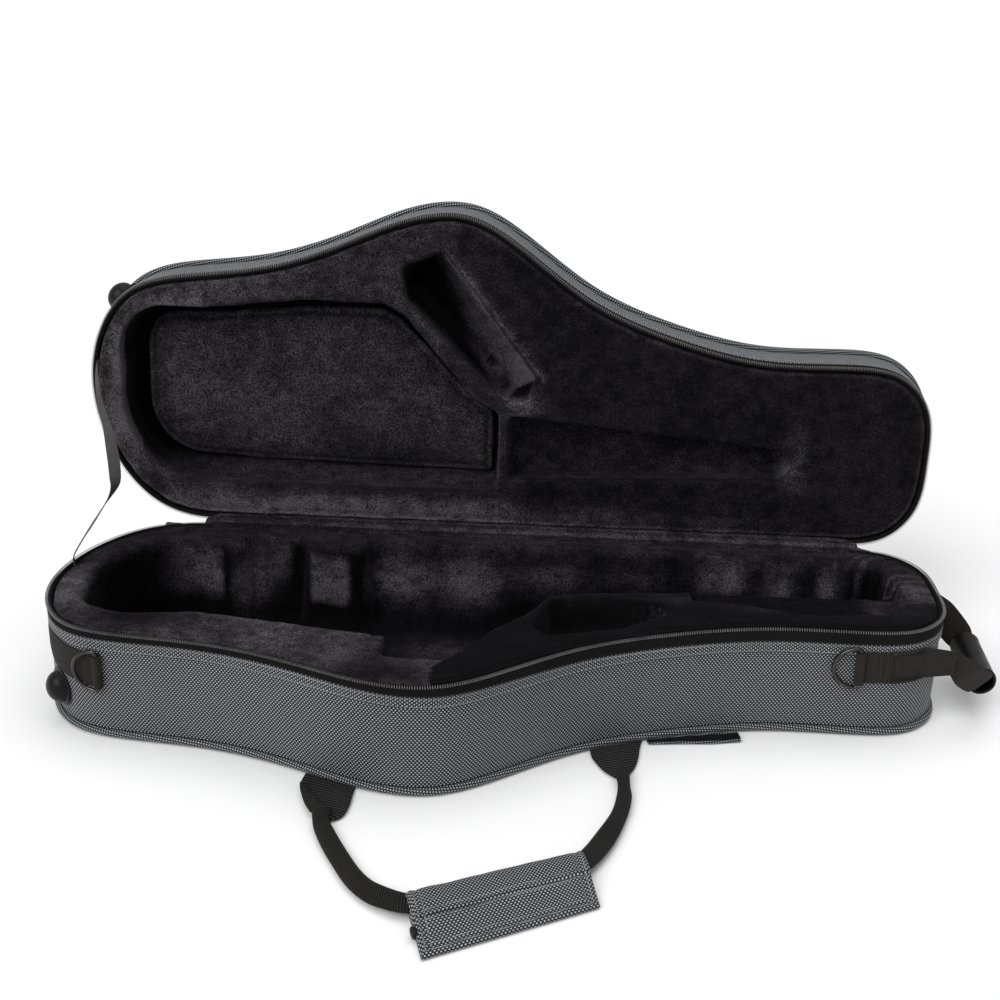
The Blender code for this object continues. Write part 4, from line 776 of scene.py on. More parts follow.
def tray_measure(tray, points):
    """Runs along X, distances from the hinge and depths from the rim of world points."""
    x, y, z = np.asarray(points).T
    if tray == "base":
        return x, HINGE_Y - y, BASE_HEIGHT - z
    c, s = math.cos(LID_OPEN_ANGLE), math.sin(LID_OPEN_ANGLE)
    return x, (z - BASE_HEIGHT) * s - (y - HINGE_Y) * c, (y - HINGE_Y) * s + (z - BASE_HEIGHT) * c


def paint_nap_and_light(obj, tray, nap_and_light_of):
    """Stores the plush's pile and painted light per vertex: 1 shows pale, as painted highlight and sheen, 0
    shows black, as painted shade.
    """
    mesh = obj.data
    values = nap_and_light_of(*tray_measure(tray, vertices_of(mesh)))
    layer = mesh.attributes.new("nap_and_painted_light", "FLOAT", "POINT")
    layer.data.foreach_set("value", np.clip(values * 0.75, 0.0, 1.0).astype(np.float32))


def make_field(name, tray, edge, levels, step, depth_of, far, material, nodes, crush=(), material_of=None,
               skirt=()):
    """Closed body whose top is a height field and whose back is flat; the skirt's loops lie between."""
    flat, faces, rim, rim_order = triangulate(edge, levels, step)
    depth = depth_of(flat)
    top = place(tray, flat[:, 0], flat[:, 1], depth)
    for amount, scale in crush:
        top = roughen(top, faces, amount, scale)
    loops = [(edge[rim_order], far)] if not skirt else [(loop[rim_order], h) for loop, h in skirt]
    verts = np.vstack([top] + [place(tray, loop[:, 0], loop[:, 1], h) for loop, h in loops])
    all_faces = [tuple(f[::-1] if tray == "lid" else f) for f in faces.tolist()]
    n, m = len(flat), len(rim)
    rows = [rim] + [[n + k * m + i for i in range(m)] for k in range(len(loops))]
    for above, below in zip(rows, rows[1:]):
        for i in range(m):
            j = (i + 1) % m
            all_faces.append((above[i], below[i], below[j], above[j]))
    all_faces.append(tuple(rows[-1]))
    span = np.vstack([flat] + [loop for loop, h in loops])
    uvs = [tuple(span[i]) for face in all_faces for i in face]
    obj = finish_mesh(name, verts, all_faces, uvs, material[0], None, (), 0.0)
    for extra in material[1:]:
        obj.data.materials.append(extra)
    if material_of is not None:
        index = np.zeros(len(all_faces), np.int32)
        index[:len(faces)] = material_of(flat[faces].mean(axis=1))
        obj.data.polygons.foreach_set("material_index", index)
    bm = bmesh.new()
    bm.from_mesh(obj.data)
    bmesh.ops.recalc_face_normals(bm, faces=bm.faces)
    bm.to_mesh(obj.data)
    bm.free()
    settle(obj, tray, nodes)
    return obj


def make_panel(tray, node):
    """Flat cloth over the outside; the lid's is slightly padded."""
    height = HEIGHTS[tray]
    inset = -2 * PIPING_RADIUS - SEAT_GAP + (LID_FLARE if tray == "lid" else 0.0)
    around_edge = np.linspace(0.0, LOOP_RUN, 300, endpoint=False)
    edge = outline(around_edge, inset)
    puff = 0.0022 if tray == "lid" else 0.0

    def depth_of(flat):
        inside = inside_distance(flat, edge)
        soft = 1.0 - np.exp(-np.maximum(inside, 0.0) / 0.02)
        return height - 0.0012 * np.exp(-np.maximum(inside, 0.0) / 0.0008) + puff * soft

    levels = [outline(around_edge, inset - k) for k in (0.0008, 0.002, 0.006)]
    make_field(tray + "_panel_cloth", tray, edge, levels, 0.010, depth_of, height - PANEL_THICKNESS,
               [WEAVE], [node])


# Liners

LINER_SIDE = -WALL_INSET - WALL_THICKNESS - 0.0008
LINER_EDGE = -0.0060
LINER_ROUND = np.linspace(0.0, LOOP_RUN, 460, endpoint=False)
SKIRT_TOP = 0.0074           # the lining's edge turns down to here, in beside the wall
# The lining's rolled edge: distance inside it against depth
HEM_ROLL = ([0.0, 0.0003, 0.0010, 0.0019, 0.0031, 0.0044, 0.0070],
            [0.0062, 0.0034, 0.0011, 0.0003, 0.0010, 0.0008, 0.0])


def bumps(flat, places):
    """Soft swellings: each a centre, two reaches, a heading and a height."""
    lift = np.zeros(len(flat))
    for x, d, rx, rd, turn, height in places:
        c, s = math.cos(turn), math.sin(turn)
        dx, dd = flat[:, 0] - x, flat[:, 1] - d
        a, b = (dx * c + dd * s) / rx, (-dx * s + dd * c) / rd
        lift += height * np.exp(-(a * a + b * b))
    return lift


LINER_STEP = 0.0035
LINER_CRUSH = ((0.0009, 45.0), (0.0005, 130.0))   # amounts and scales of the crushed pile


def make_liner(tray, pockets, nodes, wander, ripple, shape, swellings, material, material_of=None, extra=()):
    """One plush skin over all of a tray's foam, sunk into its pockets."""
    edge = outline(LINER_ROUND, LINER_EDGE)
    levels = [outline(LINER_ROUND, LINER_EDGE - k) for k in HEM_ROLL[0][1:]] + list(extra)
    loops = []
    for shares, sizes in pockets:
        profile = soft_profile(*sizes)
        loops.append((densify(rounded_outline(shares), 0.003), profile))
        levels += [densify(rounded_outline(shares, -k), LINER_STEP) for k in profile[0]]

    def depth_of(flat):
        depth = np.interp(inside_distance(flat, edge), *HEM_ROLL)
        for i, (loop, profile) in enumerate(loops):
            depth = np.maximum(depth, np.interp(inside_distance(flat, loop) + wander(i, flat), *profile))
        return np.maximum(LINER_DROP + shape(flat, depth) - bumps(flat, swellings) + ripple(flat), 0.0007)

    far = HEIGHTS[tray] - PANEL_THICKNESS - SEAT_GAP
    inner = outline(LINER_ROUND, LINER_SIDE)
    skirt = [(edge, SKIRT_TOP), (inner, SKIRT_TOP + 0.0002), (inner, far)]
    return make_field(tray + "_liner_plush", tray, edge, levels, LINER_STEP, depth_of, far, material, nodes,
                      LINER_CRUSH, material_of, skirt)


def base_wander(i, flat):
    """Folds and bulges of the trough's plush."""
    if i:
        return np.zeros(len(flat))
    x, d = flat.T
    back = hump(d, 0.022, 0.012)
    fold = 0.0022 * np.sin(x * 95.0 + 1.3) * hump(x, 0.20, 0.035)
    fold += 0.0016 * np.sin(x * 42.0) + 0.0010 * np.sin(x * 101.0 + 0.7)
    fold -= 0.0018 * hump(x, -0.2155, 0.0026)
    end = hump(x, 0.285, 0.022)
    around = np.arctan2(d - 0.05, x - 0.24)
    gather = 0.0011 * np.sin(around * 21.0 + 3.0 * np.sin(around * 8.0)) * end
    bell = 0.0010 * np.sin(np.arctan2(d - 0.09, x + 0.20) * 15.0) * hump(x, -0.28, 0.03)
    return back * fold + gather + bell


# Both ends of each crease, its reach and its depth
CREASES = [(-0.240, 0.010, -0.262, 0.030, 0.0030, 0.0030), (-0.290, 0.022, -0.305, 0.044, 0.0032, 0.0026),
           (-0.112, 0.010, -0.108, 0.030, 0.0026, 0.0030)]


def base_ripple(flat):
    """Creases of the plush on the back left pad and gathers along the hinge's edge."""
    x, d = flat.T
    crease = np.zeros(len(flat))
    for x0, d0, x1, d1, reach, deep in CREASES:
        a, b = np.array((x0, d0)), np.array((x1, d1)) - np.array((x0, d0))
        t = np.clip(((flat - a) @ b) / (b @ b), 0.0, 1.0)
        away = np.hypot(*(flat - a - t[:, None] * b).T)
        crease += deep * np.exp(-(away / reach) ** 2) * np.sin(math.pi * np.clip(t, 0.06, 0.94))
    edge = hump(d, 0.016, 0.006) * 0.0005 * np.sin(x * 380.0 + 2.0 * np.sin(x * 70.0))
    return crease + edge


def lid_ripple(flat):
    """Gathers of the lid's plush along the hinge, deeper at its left."""
    x, d = flat.T
    near = hump(d, 0.013, 0.006)
    left = 0.35 + 0.65 * hump(x, -0.19, 0.05)
    wave = np.sin(x * 450.0 + 1.8 * np.sin(x * 61.0)) * (0.6 + 0.4 * np.sin(x * 37.0 + 1.0))
    corner = np.exp(-np.hypot(x - 0.020, d - 0.098) ** 2 / 0.014 ** 2) * 0.0010 * np.sin((x + d) * 700.0)
    return 0.0011 * near * left * wave + corner


GAP_FILL_DEPTH = 0.0318      # how deep the gap round the bell pad stays open


def lid_shape(flat, depth):
    """Fills the gap round the bell pad and slopes the neck pocket's right side."""
    x, d = flat.T
    away = -inside_distance(flat, pad_loop())
    below = ramp(d, 0.075, -0.02)
    fill = GAP_FILL_DEPTH - (0.6 + 0.9 * below) * np.maximum(away - 0.0004, 0.0)
    filled = np.where((away > 0.0002) & (away < 0.03) & (depth > 0.008), np.minimum(depth, fill), depth)
    side = ramp(x, -0.262, 0.030) * (x < -0.004)
    depth = depth + (filled - depth) * side
    along, w = pocket_line(x, d)
    slope = 0.0030 + (2.2 - 1.1 * np.clip(along, 0, 1)) * np.maximum(w, 0.0)
    neck = densify(rounded_outline(NECK_POCKET_SHARES), 0.003)
    inside = (inside_distance(flat, neck) > -0.003) & (w > -0.0005)
    depth = np.where(inside, np.minimum(depth, slope), depth)
    ridge = hump(w, -0.0024, 0.0016) * np.clip(along * 12, 0, 1) * np.clip((1.06 - along) * 12, 0, 1)
    return depth - 0.0011 * ridge


def pocket_line(x, d):
    """Share along the neck pocket's right side and distance into the pocket from it."""
    a, b = np.array((-0.0521, 0.2230)), np.array((0.0224, 0.1275))
    step = (b - a) / np.hypot(*(b - a))
    along = ((x - a[0]) * step[0] + (d - a[1]) * step[1]) / np.hypot(*(b - a))
    return along, (x - a[0]) * step[1] - (d - a[1]) * step[0]


def patches(x, y, places):
    """Soft spots: each a centre, two reaches and a strength."""
    total = np.zeros(len(x))
    for cx, cy, rx, ry, strength in places:
        total += strength * np.exp(-((x - cx) / rx) ** 2 - ((y - cy) / ry) ** 2)
    return total


def block(x, y, x0, x1, y0, y1, soft):
    """One inside a soft-edged rectangle, nought outside it."""
    return (np.clip((x - x0) / soft, 0, 1) * np.clip((x1 - x) / soft, 0, 1)
            * np.clip((y - y0) / soft, 0, 1) * np.clip((y1 - y) / soft, 0, 1))


# How the pile lies, with painted highlights and painted shade where light and shade fall on the plush. Each
# spot is its place along x and d (x and h for the trough's back wall), its reach in both, and its strength.
LEDGE_DARK = [(-0.255, 0.165, 0.050, 0.022, 0.56), (-0.070, 0.232, 0.040, 0.018, 0.44),
              (-0.074, 0.202, 0.026, 0.022, 0.32)]
LEDGE_PALE = [(-0.318, 0.110, 0.018, 0.050, 0.24), (-0.140, 0.185, 0.045, 0.026, 0.12)]
BRACE_PALE = [(0.070, 0.118, 0.022, 0.012, 0.34), (0.135, 0.104, 0.022, 0.008, 0.26),
              (0.190, 0.112, 0.020, 0.008, 0.22), (0.280, 0.112, 0.050, 0.010, 0.14),
              (0.135, 0.160, 0.050, 0.008, 0.10)]
# Painted highlight on the crumpled plush in the oval pocket.
OVAL_HIGHLIGHTS = [(0.122, 0.122, 0.016, 0.011, 1.25)]
TROUGH_FLOOR_PALE = [(-0.046, 0.070, 0.030, 0.020, 0.42)]
# Along x and h
# Painted highlights on the trough's back wall, then painted shade in its folds and seam.
BACK_WALL_HIGHLIGHTS = [(-0.199, 0.034, 0.013, 0.020, 0.86), (-0.176, 0.022, 0.014, 0.016, 0.55),
                  (-0.0774, 0.034, 0.025, 0.019, 1.0), (-0.0229, 0.033, 0.022, 0.018, 0.92),
                  (0.043, 0.028, 0.032, 0.014, 0.45), (0.110, 0.024, 0.030, 0.012, 0.26),
                  (0.175, 0.022, 0.018, 0.014, 0.85), (0.219, 0.024, 0.012, 0.016, 0.80),
                  (0.256, 0.026, 0.010, 0.016, 0.72)]
BACK_WALL_SHADE = [(-0.159, 0.030, 0.006, 0.030, 1.0), (-0.112, 0.040, 0.004, 0.020, 0.6),
                  (-0.2155, 0.025, 0.0022, 0.040, 0.7)]
# Along x and d
# Painted highlights on the lid's plush, then its darker spots.
LID_HIGHLIGHTS = [(-0.300, 0.105, 0.022, 0.060, 0.50), (-0.180, 0.012, 0.130, 0.012, 0.85),
            (0.030, 0.012, 0.100, 0.012, 0.30), (-0.030, 0.205, 0.022, 0.030, 0.10),
            (0.016, 0.106, 0.012, 0.010, 0.55), (-0.225, 0.205, 0.050, 0.018, 0.14),
            (0.226, 0.064, 0.008, 0.022, 0.42), (0.180, 0.012, 0.080, 0.010, 0.12)]
LID_DARK = [(-0.300, 0.190, 0.022, 0.024, 0.12), (-0.110, 0.031, 0.130, 0.008, 0.30),
            (-0.100, 0.215, 0.090, 0.024, 0.09)]
# Painted highlight at the slot's end.
SLOT_END_HIGHLIGHT = [(0.222, 0.060, 0.007, 0.020, 0.50)]
PAD_SPOTS = [(-0.10, 0.060, 0.05, 0.02, -0.12), (-0.25, 0.13, 0.04, 0.04, 0.08)]


def brace_line(x):
    """Front edge of the dark brace that crosses the base's ledge."""
    return 0.2207 - (x + 0.0365) * 1.459


def base_nap_and_light(x, d, h):
    """The base lining's pile and painted light: a lit ledge with painted shade sinking into the pockets, the
    brace, painted highlights on the trough's back wall, and painted light and shade on the folds at its right
    end.
    """
    value = np.full(len(x), 0.05)
    # Painted shade: below the rim face the pockets go dark.
    ledge = 1.0 - ramp(h, 0.005, 0.006)
    brace = (d > brace_line(x)) & (x > -0.036) & (d > 0.092)
    front = ramp(d, 0.09, 0.03)
    tone = 0.24 + 0.37 * front * (1.0 - ramp(x, -0.04, 0.05))
    tone -= patches(x, d, LEDGE_DARK)
    tone += patches(x, d, LEDGE_PALE)
    value = value + ledge * np.where(brace, patches(x, d, BRACE_PALE) - 0.05, tone)
    # Painted highlight on the crumpled plush in the oval pocket.
    crumple_highlight = patches(x, d, OVAL_HIGHLIGHTS) * (0.4 + 0.6 * np.sin(x * 900.0 + d * 500.0))
    value = value + crumple_highlight * (h > 0.004)
    value = value + patches(x, d, TROUGH_FLOOR_PALE) * (h > 0.05)
    # Painted light on the notch's floor.
    value = value + block(x, d, -0.074, 0.010, 0.140, 0.212, 0.010) * (h > 0.018) * 0.40
    back = ramp(d, 0.060, -0.020) * (h > 0.003)
    # Painted highlights on the back wall, its left pad and its bolster, less painted shade in its folds.
    pad = block(x, h, -0.285, -0.2155, 0.004, 0.046, 0.006) * (0.04 + 0.74 * ramp(x, -0.270, 0.055))
    bolster_highlight = block(x, h, -0.152, -0.117, 0.008, 0.050, 0.005) * 0.80
    shine = 1.22 * (patches(x, h, BACK_WALL_HIGHLIGHTS) + pad + bolster_highlight)
    value = value + back * np.maximum(shine - patches(x, h, BACK_WALL_SHADE), 0.0)
    # Painted light and shade on the gathered folds at the trough's right end.
    turn = np.arctan2(d - 0.055, x - 0.235)
    end = ramp(x, 0.268, 0.012) * ramp(d, 0.105, -0.02)
    fold_shading = 0.17 + 0.20 * np.sin(turn * 23.0 + 4.0 * np.sin(turn * 9.0))
    return value + end * fold_shading * np.clip(1.3 - h / 0.05, 0.0, 1.0)


def lid_nap_and_light(x, d, h):
    """The lid lining's pile and painted light: a lit open face with painted shade in the pockets, painted
    highlights along the rolled edge, the seam round the pad and the ridge, painted shade in the groove, and
    painted highlights in the slot and on the neck pocket's slope.
    """
    # Painted shade: below the open face the pockets go dark.
    lit_open_face = 1.0 - ramp(h, 0.006, 0.008)
    along, w = pocket_line(x, d)
    border = np.where(d > 0.223, -0.050, np.where(d > 0.1275, -0.0521 + (0.223 - d) * 0.779, 0.006))
    left = 1.0 - np.clip((x - border) / 0.014, 0.0, 1.0)
    tone = 0.150 + 0.30 * left
    tone += patches(x, d, LID_HIGHLIGHTS)
    tone -= patches(x, d, LID_DARK)
    # Painted light and shade on the gathers along the hinge.
    tone += 0.10 * left * np.sin(x * 260.0 + d * 90.0) * hump(d, 0.016, 0.012)
    # Painted highlights on the ridge, the rolled edge, the seam round the pad and the left edge; painted shade
    # in the groove beside the seam.
    tone += 0.30 * hump(w, -0.0024, 0.0014) * ((along > 0.0) & (along < 1.05))
    flat = np.stack([x, d], 1)
    rim = inside_distance(flat, outline(LINER_ROUND, LINER_EDGE))
    tone += 0.22 * hump(rim, 0.0018, 0.0016)
    beside = inside_distance(flat, pad_loop())
    seam = hump(beside, -0.0036, 0.0014) * ramp(x, -0.26, 0.05)
    tone += 0.36 * seam - 0.12 * hump(beside, -0.0085, 0.0030) * ramp(x, -0.26, 0.05)
    tone += 0.62 * hump(rim, 0.016, 0.007) * ((x < -0.24) & (d > 0.06))
    slot = ((x > 0.0) & (d < 0.100) & (h > 0.010)) * 0.27
    # Painted highlight at the slot's end and on the neck pocket's sloping side; painted light on the recess's
    # lower slope.
    crescent_highlight = patches(x, d, SLOT_END_HIGHLIGHT) * (h > 0.006)
    face = (w > -0.001) * (w < 0.034) * (along > -0.05) * (along < 1.02) * (h > 0.006) * (x > -0.075)
    reach = 0.014 + 0.030 * np.clip(along, 0, 1)
    slope = face * np.clip(1.0 - w / reach, 0.0, 1.0) ** 0.8 * (0.42 + 1.30 * np.clip(along, 0, 1) ** 1.5)
    lower = (h > 0.010) * (x < -0.004) * ramp(d, 0.052, -0.012) * 0.30
    return 0.03 + lit_open_face * tone + slot + crescent_highlight + slope + lower


def pad_nap_and_light(x, d, h):
    """The bell pad's pile, with a painted highlight along its rolled rim and painted shade in its seam."""
    rim = inside_distance(np.stack([x, d], 1), pad_loop())
    edge = 0.50 + 0.26 * hump(rim, 0.0030, 0.0016) - 0.22 * hump(rim, 0.0068, 0.0012)
    return edge + patches(x, d, PAD_SPOTS)


# Swellings of the linings: place, reach along and across, heading and height
LID_SWELLINGS = [(0.0, 0.060, 0.006, 0.030, 0.0, 0.0010), (-0.020, 0.225, 0.020, 0.012, 0.0, 0.0015)]
BASE_SWELLINGS = [
    (-0.216, 0.160, 0.016, 0.007, 0.0, 0.0020), (0.165, 0.100, 0.020, 0.006, 0.3, 0.0015),
    (0.09, 0.092, 0.030, 0.005, -0.2, 0.0018), (0.270, 0.112, 0.018, 0.006, -0.1, 0.0012),
]


def brace_side(middles):
    """Material number of each face: 1 on the dark brace."""
    x, d = middles.T
    return ((d > brace_line(x)) & (x > -0.036) & (x < 0.345) & (d > 0.092)).astype(np.int32)


RECESS_DEPTH = 0.036
PAD_THICKNESS = 0.014
PAD_TUCK = 0.0005            # how far the cushion's edge stays inside the pad's outline
PAD_ROLL = 0.0045
PAD_SEAM = 0.0062            # its seam's distance from the edge
PAD_STEP = 0.0035


def make_bell_pad():
    """Cushion with a crowned face and rolled edges, standing in the lid's recess."""
    floor = LINER_DROP + RECESS_DEPTH - SEAT_GAP
    edge = pad_loop(-PAD_TUCK)
    a = np.linspace(0.0, math.pi / 2, 6)
    side = PAD_ROLL * (1 - np.cos(a))
    rise = PAD_THICKNESS * 0.35 + PAD_THICKNESS * 0.50 * np.sin(a)
    insets = [*side[1:], PAD_SEAM - 0.0010, PAD_SEAM, PAD_SEAM + 0.0010]
    levels = [pad_loop(-PAD_TUCK - k, PAD_STEP) for k in insets]

    def depth_of(flat):
        inside = inside_distance(flat, edge)
        lift = np.interp(inside, side, rise)
        crown = PAD_THICKNESS * 0.15 * (1.0 - np.exp(-np.maximum(inside - 0.004, 0.0) / 0.012))
        seam = -0.0008 * hump(inside, PAD_SEAM, 0.0011)
        return floor - lift - crown - seam

    pad = make_field("bell_pad_cushion", "lid", edge, levels, PAD_STEP, depth_of, floor, [PAD_PLUSH],
                     ["bell_pad"])
    fill_cushion(pad, "lid", floor)
    points = vertices_of(pad.data)
    x, d, h = tray_measure("lid", points)
    inside = inside_distance(np.stack([x, d], 1), edge)
    face = np.clip((floor - 0.003 - h) / 0.004, 0.0, 1.0)
    rough = np.array([noise.noise(p * 40.0) * 0.0007 + noise.noise(p * 120.0) * 0.0004
                      for p in map(Vector, points)])
    h = h + face * (rough + 0.0009 * hump(inside, PAD_SEAM, 0.0012))
    pad.data.vertices.foreach_set("co", place("lid", x, d, h).ravel())
    paint_nap_and_light(pad, "lid", pad_nap_and_light)


CUSHION_START = 0.86         # height of the unfilled cover as a share of the cushion's
CUSHION_VOXEL = 0.0042
CUSHION_HELD = 0.0022        # the cover is held this near the recess's floor
CUSHION_REACH = 0.0035       # furthest that the filling may push it
CUSHION_FRAMES = 20


def fill_cushion(obj, tray, floor):
    """Cloth simulation: the cover of a slightly smaller cushion is blown up by its filling."""
    scene = bpy.context.scene
    mesh = obj.data
    x, d, h = tray_measure(tray, vertices_of(mesh))
    smaller = floor - (floor - h) * CUSHION_START
    mesh.vertices.foreach_set("co", place(tray, x, d, smaller).ravel())
    with bpy.context.temp_override(object=obj, active_object=obj, selected_objects=[obj]):
        remesh = obj.modifiers.new("even", "REMESH")
        remesh.mode, remesh.voxel_size, remesh.use_smooth_shade = "VOXEL", CUSHION_VOXEL, True
        bpy.ops.object.modifier_apply(modifier=remesh.name)
    mesh = obj.data
    rest = vertices_of(mesh)
    back = tray_measure(tray, rest)[2] > floor - CUSHION_HELD
    group = obj.vertex_groups.new(name="held")
    group.add([int(i) for i in np.nonzero(back)[0]], 1.0, "REPLACE")
    cloth = obj.modifiers.new("cover", "CLOTH")
    cloth.settings.quality = 6
    cloth.settings.mass = 0.3
    cloth.settings.tension_stiffness = cloth.settings.compression_stiffness = 12.0
    cloth.settings.bending_stiffness = 0.6
    cloth.settings.use_pressure = True
    cloth.settings.uniform_pressure_force = 4.0
    cloth.settings.effector_weights.gravity = 0.0
    cloth.settings.vertex_group_mass = "held"
    cloth.collision_settings.use_collision = False
    cloth.collision_settings.use_self_collision = False
    scene.frame_start, scene.frame_end = 1, CUSHION_FRAMES
    for step in range(1, CUSHION_FRAMES + 1):
        scene.frame_set(step)
    filled = obj.evaluated_get(bpy.context.evaluated_depsgraph_get())
    moved = vertices_of(filled.data) - rest
    obj.modifiers.remove(cloth)
    scene.frame_set(1)
    far = np.linalg.norm(moved, axis=1, keepdims=True)
    moved *= np.minimum(1.0, CUSHION_REACH / (far + 1e-9))
    mesh.vertices.foreach_set("co", (rest + moved).ravel())
    with bpy.context.temp_override(object=obj, active_object=obj, selected_objects=[obj]):
        smooth = obj.modifiers.new("finer", "SUBSURF")
        smooth.levels = smooth.render_levels = 1
        bpy.ops.object.modifier_apply(modifier=smooth.name)
    obj.vertex_groups.clear()
    for polygon in obj.data.polygons:
        polygon.use_smooth = True


# Webbing, rings and feet on the walls

def wall_frame(share, height):
    """Point on the base's wall with its outward and along directions."""
    run = np.array(share * RUN)
    here, beyond = outline(run, -WALL_INSET), outline(run, 0.0)
    away = Vector((beyond[0] - here[0], here[1] - beyond[1], 0.0)).normalized()
    return Vector((here[0], HINGE_Y - here[1], height)), away, Vector((-away.y, away.x, 0.0))


def flat_section(middle, across, through, crown=0.25, steps=4):
    """Section of a webbing strip with rounded edges, from its two half-size vectors."""
    middle, across, through = (np.array(v, float) for v in (middle, across, through))
    ring = []
    for t in np.linspace(-1.0, 1.0, steps + 1):
        ring.append(middle + across * t + through * (1.0 if abs(t) < 0.95 else crown))
    for t in np.linspace(1.0, -1.0, steps + 1):
        ring.append(middle + across * t - through * (1.0 if abs(t) < 0.95 else crown))
    return ring


def make_wall_band(name, shares, thickness, nodes, drop=0.0, lug=None, ribs=0):
    """Webbing along the wall between two shares; with a lug its end turns out to the end handle."""
    count = max(6, int(abs(shares[1] - shares[0]) * RUN / 0.003))
    rings, frames = [], []
    for i in range(count + 1):
        part = i / count
        share = shares[0] + (shares[1] - shares[0]) * part
        sink = drop * max(0.0, part - 0.75) / 0.25
        point, away = wall_frame(share, BAND_HEIGHT - sink)[:2]
        thick = thickness
        if ribs:
            thick = thickness * (0.55 + 0.45 * abs(math.sin(math.pi * ribs * part)))
        middle = point + away * (SEAT_GAP + thick / 2)
        rings.append(flat_section(middle, Vector((0.0, 0.0, WEBBING_WIDTH / 2)), away * thick / 2))
        frames.append((point + away * (SEAT_GAP + thick), away))
    if lug:
        way = Vector((0.0, math.copysign(1.0, frames[-1][1].y), 0.0))
        end = lug + way * (0.0013 + SEAT_GAP + thickness / 2)
        start = Vector(np.mean(rings[-1], axis=0))
        for t in (0.35, 0.7, 1.0):
            middle = start.lerp(end, t)
            turn = frames[-1][1].lerp(way, t).normalized()
            rings.append(flat_section(middle, Vector((0.0, 0.0, (WEBBING_WIDTH * (1 - t) + 0.019 * t) / 2)),
                                      turn * thickness / 2))
    skin(name, rings, WEBBING, "base", nodes, sharp=55.0)
    return frames


KEEPER_BEND = 0.0020         # inner radius of the fold round the ring's bar
KEEPER_WALL = 0.0014
KEEPER_LAP = 0.0008          # each layer of the tail on the wall


def make_keeper(name, share, height, lay, node):
    """Webbing folded round the ring's bar, with its tail on the wall."""
    point, away, along = wall_frame(share, height)
    outer = KEEPER_BEND + KEEPER_WALL
    centre = point + away * (SEAT_GAP + outer)
    side = along * lay
    bend = [(math.cos(a), math.sin(a)) for a in np.linspace(math.radians(-28), math.radians(268), 15)]
    path = [(0.0115, -outer + 0.0016), (0.009, -outer + 0.0016), (0.0055, -outer + 0.0017)]
    path += [(c * outer, e * outer) for c, e in bend]
    path += [(0.0045, -outer), (0.009, -outer), (0.0115, -outer)]
    low = [(k, -outer + KEEPER_LAP) for k in (0.0115, 0.009, 0.0050)]
    low += [(c * KEEPER_BEND, e * KEEPER_BEND) for c, e in bend]
    low += [(k, -outer + KEEPER_LAP - 0.0001) for k in (0.0040, 0.009, 0.0115)]
    half = Vector((0.0, 0.0, WEBBING_WIDTH / 2))
    rings = []
    for (a, b), (c, e) in zip(path, low):
        outside, inside = centre + side * a + away * b, centre + side * c + away * e
        rings.append([outside - half, outside - half * 0.5, outside, outside + half * 0.5, outside + half,
                      inside + half, inside, inside - half])
    skin(name, rings, WEBBING, "base", [node], sharp=60.0)
    return centre, along


def tube(name, points, radius, material, body, nodes=(), sides=14, close=False):
    """Round wire along a route; the radius may be one number or one for each point."""
    points = np.asarray(points, float)
    rings, last = [], None
    count = len(points)
    for i in range(count):
        if close:
            ahead = points[(i + 1) % count] - points[i - 1]
        else:
            ahead = points[min(i + 1, count - 1)] - points[max(i - 1, 0)]
        ahead = Vector(ahead).normalized()
        first = ahead.orthogonal() if last is None else (last - ahead * last.dot(ahead))
        first = first.normalized()
        last, second = first, ahead.cross(first.normalized())
        r = radius[i] if np.ndim(radius) else radius
        rings.append([points[i] + np.array(first * math.cos(a) + second * math.sin(a)) * r
                      for a in circle(sides)])
    return skin(name, rings, material, body, nodes, close=close, sharp=60.0)


RING_WIRE = 0.0015
RING_HALF = 0.0155
RING_REACH = 0.0185
RING_CORNER = 0.003


def make_d_ring(name, centre, side):
    """Straight bar in the keeper and a half-round bow."""
    straight = RING_HALF - RING_CORNER
    points = [(0.0, z) for z in np.linspace(-straight, straight, 8)]
    bow = RING_REACH - RING_CORNER / 2
    for angle in np.linspace(math.radians(90.0), math.radians(-90.0), 40):
        points.append((RING_CORNER / 2 + bow * math.cos(angle), RING_HALF * math.sin(angle)))
    route = [centre - side * a + Vector((0.0, 0.0, z)) for a, z in points]
    tube(name + "_wire", route, RING_WIRE, NICKEL, name, [name], close=True)


FOOT_RADIUS = 0.0118
FOOT_LIP_HEIGHT = 0.0014
FOOT_DOME = 0.0101           # the dome's rise above its lip
FOOT_LIP = [(0.0119, 0.0017), (0.0125, 0.0014), (0.0139, 0.0012), (0.0145, 0.0008), (0.0145, 0.0), (0.0, 0.0)]


def make_foot(name, tray, share, lift):
    """Rubber dome with a thin lip, square to the wall."""
    profile = [(0.0, FOOT_LIP_HEIGHT + FOOT_DOME)]
    for angle in np.linspace(math.radians(84.0), math.radians(8.0), 12):
        profile.append((FOOT_RADIUS * math.cos(angle), FOOT_LIP_HEIGHT + FOOT_DOME * math.sin(angle)))
    profile += FOOT_LIP
    depth = HEIGHTS[tray] - lift
    run = np.array(share * RUN)
    seat = -WALL_INSET + lean(tray, depth) + SEAT_GAP
    at, beyond = outline(run, seat), outline(run, seat + OUT_STEP)
    here = Vector(place(tray, at[0], at[1], depth))
    away = (Vector(place(tray, beyond[0], beyond[1], depth)) - here).normalized()
    first = away.orthogonal().normalized()
    second = away.cross(first)
    rings = [[here + away * z + (first * math.cos(a) + second * math.sin(a)) * max(r, 1e-5)
              for a in circle(40)] for r, z in profile]
    skin(name + "_dome", rings, RUBBER, tray, [name], sharp=50.0)


make_shell("base")
make_shell("lid")
make_panel("base", "base_bottom_panel")
make_panel("lid", "lid_top_panel")

